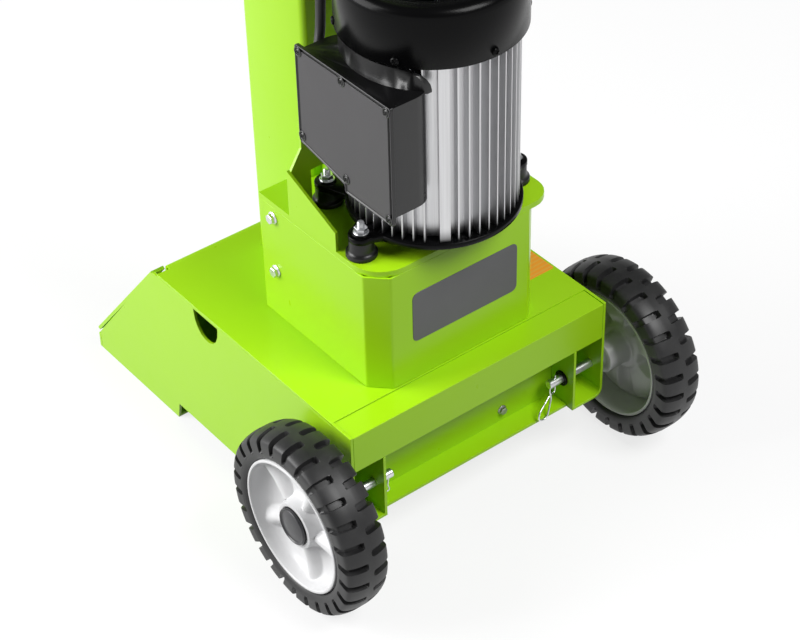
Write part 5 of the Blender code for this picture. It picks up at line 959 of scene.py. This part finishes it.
heads = [placed(flange_bolt(8 * MM), (side * (COVER_HALF + 0.1 * MM), 0.004, height), (side, 0, 0),
                0.3 + height * 9)
         for side in (1, -1) for height in (0.310, 0.393)]
piece("cover_flange_bolts", joined(*heads), ZINC, "base")
print("flange bolts:", len(heads))

# %% [markdown]
# ## Terminal box lid
#
# The lid is a stepped plate that follows the box's slanted lower edge. A thin bead runs round its
# rim, then a polished dark groove, and only then comes the grained face. The lid's outline is
# drawn again at every level: its straight edges move inwards first and the corners are rounded
# after that, so the small step in the lower edge stays true.

# %% Lid
def mitred(corners, inset):
    """Move each edge inwards: corner - inset (a + b) / (1 + a . b), with a and b its edges' normals."""
    ahead = np.roll(corners, -1, axis=0) - corners
    after = np.column_stack([ahead[:, 1], -ahead[:, 0]]) / np.linalg.norm(ahead, axis=1, keepdims=True)
    before = np.roll(after, 1, axis=0)
    return corners - inset * (before + after) / (1 + np.sum(before * after, axis=1, keepdims=True))


def lid_ring(inset, height):
    """One closed ring of the lid; its corners start 4.5 mm less 0.6 of the inset before the edge's end."""
    flat = rounded(mitred(LID_CORNERS, inset), 4.5 * MM - 0.6 * inset, 7)
    return np.column_stack([flat, np.full(len(flat), height)])


LID_CORNERS = np.array([(59, 668), (59, 534), (146, 517), (146, 506.5), (237.5, 506.5), (237.5, 668)]) * MM
LID_LEVELS = np.array([(0.3, 118.4), (0, 118.7), (0, 122.3), (0.3, 122.9), (0.8, 123.2), (1.4, 123.2),
                       (1.9, 122.7), (2.6, 121.9), (4.0, 121.5), (5.0, 121.6), (5.5, 122.6), (5.9, 123.0)])
rings = np.stack([lid_ring(inset, height) for inset, height in LID_LEVELS * MM])
points, faces = sheet(rings)
back = np.arange(rings.shape[1])
front = back + len(points) - len(back)
piece("stepped_lid", facing((points, faces + [back.tolist(), front.tolist()]), "X"), LID, "base",
      ["terminal_box_lid"], sharp=25)
print("lid rings:", len(rings), "of", len(back), "points")

# %% [markdown]
# Six pan head screws hold the lid. Each sits in a round collar that stands a little proud of the
# face, and every slot is turned a different way, as a hand leaves them.

# %% Collars and screws
LID_SCREWS = np.array([(66, 660), (148, 660), (230, 660), (66, 544), (150, 527), (230, 514)]) * MM
collar = turned(np.array([(0, 3.0), (4.5, 3.0), (4.5, 4.6), (4.9, 5.0), (6.2, 5.0), (6.7, 4.5), (6.7, 0),
                          (0, 0)]) * MM)
collars = [placed(collar, (LID_FACE - 4 * MM, y, z), "X") for y, z in LID_SCREWS]
piece("lid_collars", joined(*collars), CASING, "base")
lid_heads = [placed(pan_screw(4.1 * MM, 2.4 * MM), (LID_FACE - 1 * MM, y, z), "X", 0.7 * number)
             for number, (y, z) in enumerate(LID_SCREWS)]
piece("lid_screws", joined(*lid_heads), CASING, "base", sharp=30)
print("lid screws:", len(lid_heads))

# %% [markdown]
# ## Motor lead
#
# A short piece of round cable leaves the box's elbow, climbs beside the column and ends in the
# switch box. Both ends are held, so it is a plain smooth tube on a gentle S-shaped path.

# %% Motor lead
LEAD_STOPS = np.array([(84, 50, 615.3), (84, 50, 629.3), (80.4, 48, 646), (73.4, 42.94, 666.6),
                       (63.85, 33.54, 716.4), (58.4, 27.8, 738), (57, 26.48, 753.7),
                       (57, 26.48, 767.7)]) * MM
lead_path = smooth_path(LEAD_STOPS, 2.5 * MM)
piece("motor_cable", tube(lead_path, 6.2 * MM, 28), CABLE, "base", ["motor_lead"], sharp=60)
print("lead length:", round(float(np.linalg.norm(np.diff(lead_path, axis=0), axis=1).sum()), 3), "m")

# %% [markdown]
# ## Motor housing
#
# The stator housing is an extrusion: a circle whose radius jumps out at each thin fin, with four
# broad ribs where the through bolts run. The outline is sampled finely round the circle and
# carried straight up, as the die does.

# %% Finned housing
MOTOR_X, MOTOR_Y, BODY_TOP = -0.008, 0.148, 0.700
FIN_ROOT, FIN_TIP, FINS_ROUND = 0.0905, 0.1035, 48
RIBS, FIRST_RIB = 4, math.radians(58.5)


def folded_angle(turn, start, count):
    """Angle to the nearest of count evenly spaced places, the first of them at start."""
    pitch = 2 * np.pi / count
    return np.abs((turn - start + pitch / 2) % pitch - pitch / 2)


def fin_radius(turn):
    """Root radius plus fins: 48 thin fins, and four broad ribs with a gap beside each."""
    near = folded_angle(turn, 0, FINS_ROUND) * FIN_TIP
    near_rib = folded_angle(turn, FIRST_RIB, RIBS) * FIN_TIP
    fin = np.where(near_rib < 13.5 * MM, 0, 1 - ease(near, 0.85 * MM, 1.65 * MM))
    rib = 1 - ease(near_rib, 6.4 * MM, 7.2 * MM)
    return FIN_ROOT + (FIN_TIP - FIN_ROOT) * np.maximum(fin, rib)


def round_motor(radius, levels, bore=0.055):
    """Rows at each (share, inset, height): share runs from the bore out to the outline less inset."""
    turn = np.linspace(0, 2 * np.pi, len(radius), endpoint=False)
    share, inset, height = (column[:, None] for column in np.asarray(levels, float).T)
    reach = bore + share * (radius - inset - bore)
    points = [MOTOR_X + reach * np.cos(turn), MOTOR_Y + reach * np.sin(turn), height + 0 * reach]
    return sheet(np.stack(points, axis=-1), wrap_rows=True)


outline = fin_radius(np.linspace(0, 2 * np.pi, 1440, endpoint=False))
levels = [(0, 0, FLANGE_TOP + 0.0003), (1, 0, FLANGE_TOP + 0.0003), (1, 0, BODY_TOP - 0.6 * MM),
          (1, 0.5 * MM, BODY_TOP), (0, 0, BODY_TOP)]
piece("finned_housing", round_motor(outline, levels), FINS, "base", ["motor_body"], sharp=28)
print("fins from", round(float(outline.min()) / MM, 1), "to", round(float(outline.max()) / MM, 1), "mm")

# %% [markdown]
# The flange under the housing is a disc with four lugs. Seen from the motor's axis, a lug's edge
# is a straight line that narrows outwards and then a round end, so at every angle the outline is
# the farther of disc and lug.

# %% Flange with lugs
MOUNTS = [(0.111, 0.158), (-0.127, 0.158), (0.077, 0.046), (-0.093, 0.046)]
FLANGE_LOW, DISC, LUG_END, LUG_ROOT, ROOT_REACH = 0.4403, 0.108, 0.016, 0.032, 0.0864


def lug_radius(turn, x, y):
    """Distance from the axis to one lug's edge: its round end, or its slanted side further round."""
    reach, heading = math.hypot(x - MOTOR_X, y - MOTOR_Y), math.atan2(y - MOTOR_Y, x - MOTOR_X)
    away = folded_angle(turn, heading, 1)
    slope = (LUG_ROOT - LUG_END) / (reach - ROOT_REACH)
    side = (LUG_ROOT + ROOT_REACH * slope) / (np.sin(away) + slope * np.cos(away))
    end = reach * np.cos(away) + np.sqrt(np.clip(LUG_END ** 2 - (reach * np.sin(away)) ** 2, 0, None))
    return np.where(away < math.atan2(LUG_END, reach), end, np.where(away < 0.9, side, 0))


turn = np.linspace(0, 2 * np.pi, 960, endpoint=False)
flange = np.max([np.full(960, DISC)] + [lug_radius(turn, x, y) for x, y in MOUNTS], axis=0)
levels = [(0, 0, FLANGE_LOW), (1, 1.0 * MM, FLANGE_LOW), (1, 0, FLANGE_LOW + 1.0 * MM),
          (1, 0, FLANGE_TOP - 1.4 * MM), (1, 0.4 * MM, FLANGE_TOP - 0.4 * MM), (1, 1.4 * MM, FLANGE_TOP),
          (0, 0, FLANGE_TOP)]
piece("lugged_flange", round_motor(flange, levels), BLACK, "base", ["motor_flange"],
      sharp=50)
print("flange reaches", round(float(flange.max()) * 1000), "mm")

# %% [markdown]
# The motor stands on four rubber buffers, each with a broad foot and a slimmer waist. A stud rises
# through the lug. On the lug lie a dark washer and a bright one, then comes the nut, and the bare
# thread stands a little above it.

# %% Rubber mounts, nuts and studs
buffer = turned(np.array([(4, 417.3), (19.2, 417.3), (19.5, 417.7), (19.5, 422.2), (19.1, 423.1),
                          (17.2, 424.2), (15.9, 425.8), (15.5, 427.6), (15.5, 438.9), (15.2, 440.0),
                          (4, 440.0)]) * MM, 48, closed=True)
for number, (x, y) in enumerate(MOUNTS, 1):
    piece(f"rubber_buffer_{number}", placed(buffer, (x, y, 0)), RUBBER, "base",
          [f"motor_mount_{number}"])
dark = ring(4 * MM, 11.2 * MM, 0, 1.8 * MM, 0.6 * MM)
bright = joined(ring(4 * MM, 9.6 * MM, 1.7 * MM, 3.1 * MM, 0.5 * MM),
                hexagon(14 * MM, 3.0 * MM, 9.0 * MM), stud_end(4.6 * MM, 1.0 * MM, 17 * MM))
washers = [placed(dark, (x, y, FLANGE_TOP)) for x, y in MOUNTS]
nuts = [placed(bright, (x, y, FLANGE_TOP), "Z", 0.4 + x * 9) for x, y in MOUNTS]
piece("stud_washers", joined(*washers), BLACK, "base")
piece("mount_nuts", joined(*nuts), ZINC, "base")
print("mounts:", len(MOUNTS))

# %% [markdown]
# ## Fan cover
#
# The cover is drawn from sheet: a straight wall, a round shoulder and a dished top with a wire
# guard of rings on radial bars. A turned profile gives the whole cap. Six screws hold its skirt.

# %% Fan cover
CAP_RADIUS, CAP_BOTTOM, CAP_TOP, SHOULDER = 0.113, 0.693, 0.768, 0.014
EYE_RADIUS = 0.0915


def fan_cover_shape():
    """Skirt, quarter-circle shoulder and recessed top outside, and the sheet's inner side back down."""
    bend = np.radians(np.linspace(0, 90, 12))
    skirt = [(CAP_RADIUS - 2.4 * MM, CAP_BOTTOM), (CAP_RADIUS - 0.6 * MM, CAP_BOTTOM),
             (CAP_RADIUS, CAP_BOTTOM + 0.6 * MM)]
    shoulder = np.column_stack([CAP_RADIUS - SHOULDER + SHOULDER * np.cos(bend),
                                CAP_TOP - SHOULDER + SHOULDER * np.sin(bend)])
    top = [(0.094, CAP_TOP - 0.2 * MM), (0.0925, CAP_TOP - 3.0 * MM), (EYE_RADIUS, CAP_TOP - 4.6 * MM)]
    inner = [(EYE_RADIUS, CAP_TOP - 6.6 * MM), (0.098, CAP_TOP - 5.0 * MM),
             (CAP_RADIUS - 8 * MM, CAP_TOP - 8.5 * MM), (CAP_RADIUS - 2.4 * MM, CAP_TOP - SHOULDER)]
    profile = np.vstack([skirt, shoulder, top, inner])
    return placed(turned(profile, 160, closed=True), (MOTOR_X, MOTOR_Y, 0))


def guard_shape():
    """Twelve rings of 2.6 mm wire, eight radial bars under them and a hub in the middle."""
    level = CAP_TOP - 5.8 * MM
    bend = np.linspace(0, 2 * np.pi, 10, endpoint=False)
    wire = np.column_stack([1.3 * MM * np.cos(bend), level + 1.3 * MM * np.sin(bend)])
    rings = [turned(wire + [radius, 0], 72, closed=True) for radius in np.linspace(0.014, EYE_RADIUS, 12)]
    under = [0, 0, level - 1.6 * MM]
    bars = [tube(np.outer([0.008, 0.05, 0.092], [math.cos(a), math.sin(a), 0]) + under, 1.6 * MM, 8)
            for a in np.arange(8) * np.pi / 4 + 0.2]
    hub = turned([(0, level - 0.003), (0.013, level - 0.003), (0.0145, level), (0.013, level + 0.002),
                  (0, level + 0.0026)], 40)
    return placed(joined(*rings, *bars, hub), (MOTOR_X, MOTOR_Y, 0))


piece("drawn_fan_cover", fan_cover_shape(), BLACK, "base", ["fan_cover"], sharp=50)
piece("fan_guard", guard_shape(), BLACK, "base")
SCREW_RING = np.array([MOTOR_X, MOTOR_Y, 0.7005])
angles = np.radians([90, 30, -30, -90, -150, 150])
ways = np.column_stack([np.cos(angles), np.sin(angles), 0 * angles])
cap_screws = [placed(pan_screw(5.2 * MM, 3.0 * MM), SCREW_RING + way * (CAP_RADIUS - 0.3 * MM), way, 0.5)
              for way in ways]
piece("fan_cover_screws", joined(*cap_screws), BLACK, "base", sharp=30)
print("fan cover screws:", len(cap_screws))

# %% [markdown]
# ## Bars and grips
#
# The control arms, their hand guards and the transport bow are bent round bar, and the stroke rod
# is turned. A bend is a rounded corner of the path, and the circle is carried along it. Each arm
# turns on a shaft that runs front to back. Behind the column the shaft carries a flat crank, whose
# pin lifts the valve rod when both arms go down.

# %% Control arm
ARM_X, ARM_Z, ARM_FRONT, CRANK = 0.150, 0.884, -0.112, 0.060
GRIP_WAY = np.array([0.10, -1, 0.02]) / np.linalg.norm([0.10, -1, 0.02])


def crank_plate():
    """Two arcs of 13 and 9 mm about the pivot and the crank's pin, joined by straight sides."""
    big, small = np.radians(np.linspace(90, -90, 13)), np.radians(np.linspace(270, 90, 13))
    plan = np.vstack([np.column_stack([ARM_X + 0.013 * np.cos(big), 0.013 * np.sin(big)]),
                      np.column_stack([ARM_X - CRANK + 0.009 * np.cos(small), 0.009 * np.sin(small)])])
    points, faces = facing(stacked(plan, [(0, 0.008), (0, 0.014)]), "Y")
    return points + [0, 0, ARM_Z], faces


def arm_shape(side):
    """The bent arm, the guard over the hand, the pivot with its boss and stop, the crank and its pin."""
    front = ARM_FRONT - 0.016
    start = np.array([ARM_X + 0.172, front - 0.084, ARM_Z + 0.030])
    end, rise = start + GRIP_WAY * 0.105, np.array([0, 0, 0.058])
    arm = [(ARM_X, front + 0.004, ARM_Z), (ARM_X + 0.026, front - 0.008, ARM_Z + 0.004),
           (ARM_X + 0.150, front - 0.062, ARM_Z + 0.026), start, end]
    near, far = start - GRIP_WAY * 0.006, end + GRIP_WAY * 0.020
    guard = [near, near + rise, far + rise, far, end - GRIP_WAY * 0.005]
    boss = turned(np.array([(0, 0), (15, 0), (16, 1), (16, 16), (15, 17.4), (0, 17.4)]) * MM, 36)
    stop = turned(np.array([(0, 0), (8.6, 0), (9, 0.6), (9, 21), (0, 21)]) * MM, 28)
    parts = [tube(bent_path(arm, 0.03), 11 * MM, 28),
             tube(bent_path(guard, 0.03), 4 * MM, 14),
             tube([(ARM_X, front, ARM_Z), (ARM_X, -0.05, ARM_Z), (ARM_X, 0.0135, ARM_Z)], 8 * MM, 24),
             placed(boss, (ARM_X, front - 0.002, ARM_Z), "Y"),
             placed(stop, (ARM_X + 0.050, ARM_FRONT - 0.035, 0.8683)), crank_plate(),
             tube([(ARM_X - CRANK, y, ARM_Z) for y in (0.013, 0.02, 0.028)], 4 * MM, 16)]
    points, faces = joined(*parts)
    return points * [side, 1, 1], faces


print("points on one arm:", len(arm_shape(1)[0]))

# %% [markdown]
# A grip is a soft sleeve. Raising a cosine to the eighth power gives narrow rings with wide plain
# bands between them. The claws that steady the log are plain plate with softened edges.

# %% Grips and claws
def grip_shape(side):
    """A soft sleeve: twelve narrow rings, (cos)^8 of the distance along it, and a flare at each end."""
    share = np.linspace(0, 1, 97)
    flare = ease(np.abs(share - 0.5), 0.44, 0.46) * (14.2 + 1.4)
    radius = np.maximum(14.2 + 0.7 * np.cos(share * 24 * np.pi) ** 8, flare) * MM
    start = np.array([ARM_X + 0.172, ARM_FRONT - 0.100, ARM_Z + 0.030])
    points, faces = tube(start + np.outer(0.020 + share * 0.080, GRIP_WAY), radius, 36)
    return points * [side, 1, 1], faces


for side, label in SIDES:
    body = "arm_" + label
    piece("arm_bar_" + label, arm_shape(side), BLACK, body, ["control_arm_" + label])
    piece("ribbed_grip_" + label, grip_shape(side), RUBBER, body, ["grip_" + label], sharp=60)
    softened("log_claw_" + label, BLACK, body, 0.6 * MM)
print("arms made:", PIECES[-6:])

# %% [markdown]
# The transport bow is one bar bent four times, the same on both sides, so half of its path is
# written and the other half is its mirror image. The stroke rod moves with the ram. A lobed knob
# on its side clamps the collar that ends the stroke.

# %% Transport bow and stroke rod
path = np.array([(76.3, -58, 930), (76.3, 13, 930), (150, 73, 936), (150, 183, 946)]) * MM
bow = tube(bent_path(np.vstack([path, path[::-1] * [-1, 1, 1]]), 0.05, 12), 12 * MM, 28)
piece("transport_bow", bow, BLACK, "base", ["transport_handle"])


def stroke_rod_shape():
    """A rod with two collars, turned from one profile, and a lobed knob screwed in from the side."""
    profile = [(0, 0.798), (5.2, 0.798), (6, 0.799), (6, 0.8198), (12.4, 0.820), (13, 0.8208), (13, 0.8392),
               (12.4, 0.840), (6, 0.8402), (6, 1.4838), (11.4, 1.484), (12, 1.4846), (12, 1.4934),
               (6, 1.4937), (6, 1.507), (5.2, 1.508), (0, 1.508)]
    rod = placed(turned(np.array(profile) * [MM, 1], 32), (-0.092, -0.072, 0))
    turn = np.linspace(0, 2 * np.pi, 48, endpoint=False)
    lobes = (9 * MM * (1 - 0.10 * np.cos(6 * turn)))[:, None]
    knob = stacked(lobes * np.column_stack([np.cos(turn), np.sin(turn)]), soft_edge(0.019, 0.025, 1 * MM))
    shank = turned([(0, 0.010), (3 * MM, 0.010), (3 * MM, 0.020), (0, 0.020)], 16)
    return joined(rod, placed(joined(knob, shank), (-0.092, -0.072, 0.830), (-1, 0, 0)))


piece("stroke_limit_rod", stroke_rod_shape(), ZINC, "ram", ["stroke_rod"])
print("bow and rod made")

# %% [markdown]
# ## Axles, washers and spring clips
#
# A bright stub axle shows between each wheel and the frame. On the inner side of the bracket a
# dark washer and a wire clip through a cross hole hold it.

# %% Axles and washers
def axle_shape(side):
    """A 12.4 mm bar with chamfered ends and a welded collar, turned and laid along X."""
    profile = [(0, 0.130), (5.4, 0.130), (6.2, 0.1308), (6.2, 0.2062), (10.6, 0.2063), (11.2, 0.2069),
               (11.2, 0.2108), (10.6, 0.2113), (6.2, 0.2114), (6.2, 0.2692), (5.4, 0.270), (0, 0.270)]
    return on_axle(side, turned(np.array(profile) * [MM, 1], 36))


for side, label in SIDES:
    piece("axle_pin_" + label, axle_shape(side), ZINC, "base", ["axle_" + label])
washer = ring(6.4 * MM, 11 * MM, 0, 2.2 * MM)
axle_washers = [placed(washer, (side * 0.1537, AXLE_Y, AXLE_Z), (-side, 0, 0)) for side, _ in SIDES]
piece("axle_washers", joined(*axle_washers), BLACK, "base")
print("axles made:", PIECES[-3:])

# %% [markdown]
# Each clip is one bent wire: a straight leg in the axle's hole, a sprung loop, and a wavy leg that
# grips the axle. The two are pushed in differently, so each has its own stops, in millimetres, and
# a smooth curve runs through them. The drain plug is a flange bolt too, in the rear cross plate.

# %% Spring clips and drain plug
RIGHT_CLIP = [(-142, 228, 136), (-142, 228, 124), (-142, 228, 112), (-139, 229, 108), (-133.5, 231, 110),
              (-128.1, 232, 108.6), (-119, 235, 104), (-113.5, 237, 102.1), (-105.5, 240, 97.5),
              (-103, 241.5, 91.5), (-105.5, 242, 87.2), (-112, 242, 85.6), (-117.5, 241.3, 88.5),
              (-122.3, 239, 95.5), (-127, 236, 101.5), (-130, 234, 107.5), (-130.5, 231, 116),
              (-132.7, 229, 122.7)]
LEFT_CLIP = [(142, 228, 140), (142, 228, 122), (142, 228, 104), (140, 228, 98.5), (136.5, 228, 97),
             (134, 228, 99), (135, 228, 103), (136.2, 228, 108), (135, 228, 116.5), (136, 228, 127.5),
             (130, 228, 129)]
clips = [tube(smooth_path(np.array(stops) * MM, 1.2 * MM), 1.2 * MM, 12)
         for stops in (RIGHT_CLIP, LEFT_CLIP)]
piece("spring_clips", joined(*clips), ZINC, "base", sharp=60)

stem = turned(np.array([(0, -14), (4.5, -14), (4.5, 1), (0, 1)]) * MM, 20)
drain_bolt = placed(joined(flange_bolt(6.4 * MM), stem), (-0.068, 0.2081, 0.104), "Y")
piece("drain_bolt", drain_bolt, DULL_ZINC, "base", ["drain_plug"])
print("clips:", len(clips), "and a drain bolt")

# %% [markdown]
# ## Plates and labels
#
# A dark plate with rounded corners lies on the back of the pump cover, and a small orange sticker
# on the deck. Both stay plain. The sticker has a few soft stripes, a sine of the distance along Y,
# so that it doesn't look like a hole in the paint.

# %% Plate and sticker
PLATE = moulded("plain_plate", (0.085, 0.085, 0.089), 0.34, 700.0, 0.00002).material
sticker = Finish("orange_sticker", (0.86, 0.33, 0.02), 0.36)
stripes = (sticker.along("Y") * 900.0).sine()
sticker.tint(stripes.step(0.2, 0.7) * 0.45, (0.72, 0.50, 0.10))
sticker.gloss(sticker.noise(90.0), 0.10)
sticker.bump(sticker.noise(25.0), 0.0001, 0.3)
STICKER = sticker.material


def rounded_slab(width, height, corner, thick):
    """A rectangle with rounded corners, centred, and raised by its thickness."""
    half = np.array([(1, 1), (-1, 1), (-1, -1), (1, -1)]) * [width / 2, height / 2]
    return stacked(rounded(half, corner, 8), [(0, 0), (0, thick * 0.6), (thick * 0.4, thick)])


points, faces = facing(rounded_slab(0.165, 0.074, 0.010, 0.6 * MM), "Y")
piece("bare_plate", (points + [-0.0055, COVER_REAR, 0.332], faces), PLATE, "base")
points, faces = rounded_slab(0.062, 0.048, 0.004, 0.4 * MM)
piece("deck_sticker", (points + [-0.172, 0.129, 0.2381], faces), STICKER, "base")
print("plates made")

# %% [markdown]
# ## Weld beads
#
# The column is welded to the deck and the shelf's gussets to the cover. A bead is a low ridge with
# overlapping ripples: a round bar along the joint whose radius rises and falls every 3 mm.

# %% Welds
DECK, SHELF, HALF_COLUMN, COLUMN_FRONT, COLUMN_REAR = 0.238, 0.4172, 0.064, -0.137, -0.007


def weld(stops, radius=2.4 * MM, ripple=3.2 * MM):
    """A bar along the joint, its radius 0.9 + 0.16 |sin| of the distance, so the ripples overlap."""
    stops = np.asarray(stops, float)
    run = np.concatenate([[0], np.cumsum(np.linalg.norm(np.diff(stops, axis=0), axis=1))])
    at = np.arange(0, run[-1], ripple / 6)
    points = np.stack([np.interp(at, run, column) for column in stops.T], axis=-1)
    size = radius * (0.9 + 0.16 * np.abs(np.sin(np.pi * at / ripple)))
    size[[0, -1]] = radius * 0.5
    return tube(points, size, 12)


front, rear, edge = COLUMN_FRONT + 0.01, COLUMN_REAR - 0.012, HALF_COLUMN - 0.012
beads = [weld([(HALF_COLUMN, rear, DECK), (HALF_COLUMN, front, DECK)]),
         weld([(-HALF_COLUMN, rear, DECK), (-HALF_COLUMN, front, DECK)]),
         weld([(-edge, COLUMN_FRONT, DECK), (edge, COLUMN_FRONT, DECK)])]
back = COLUMN_REAR + 0.001
for side, _ in SIDES:
    beads.append(weld([(side * 0.128, 0.046, SHELF), (side * 0.128, 0.132, SHELF)], 1.6 * MM))
    beads.append(weld([(side * 0.046, back, 0.42), (side * 0.046, back, 0.50)], 1.6 * MM))
piece("weld_beads", joined(*beads), GREEN, "base", sharp=60)
print("beads:", len(beads))

# %% [markdown]
# ## Switch box details
#
# The plug inlet is a short shroud round three pins, and the two buttons are slightly domed caps
# that slide in the box's face. All of them are turned shapes laid along X or Y.

# %% Inlet and buttons
INLET_FACE, INLET_Y, INLET_Z = 0.0973, 0.0202, 0.821
PIN_CIRCLE = 9 * MM


def inlet_shape():
    """A turned shroud about X with three round pins, 120 degrees apart on a 9 mm circle."""
    rim = np.array([(0, 0), (20.2, 0), (21, 0.8), (21, 29), (20.4, 30), (18.6, 30), (18, 29.4), (18, 6),
                    (0, 6)]) * MM
    pin = np.array([(0, 4), (2.4, 4), (2.4, 22.6), (1.6, 24), (0, 24)]) * MM
    pins = [placed(turned(pin, 18), (INLET_FACE, INLET_Y + PIN_CIRCLE * math.cos(a),
                                     INLET_Z + PIN_CIRCLE * math.sin(a)), "X")
            for a in np.radians([90, 210, 330])]
    return joined(placed(turned(rim, 64), (INLET_FACE, INLET_Y, INLET_Z), "X"), *pins)


def button_shape(x):
    """A short cylinder with a rounded, slightly domed end, pointing along Y."""
    cap = np.array([(0, 38), (9.8, 38), (10, 38.5), (10, 52.5), (9.4, 54.2), (8, 54.8), (0, 55)]) * MM
    return placed(turned(cap, 48), (x, 0, INLET_Z), "Y")


piece("inlet_shroud", inlet_shape(), GREY_CASING, "base", ["power_inlet"])
piece("start_cap", button_shape(0.074), START_GREEN, "start", ["start_button"])
piece("stop_cap", button_shape(0.040), STOP_RED, "stop", ["stop_button"])
print("switch box dressed")

# %% [markdown]
# ## Finish
#
# The colours go through the Standard view transform, and the new pieces are counted.

# %% Finish
bpy.context.scene.view_settings.view_transform = "Standard"
print("pieces:", len(PIECES))
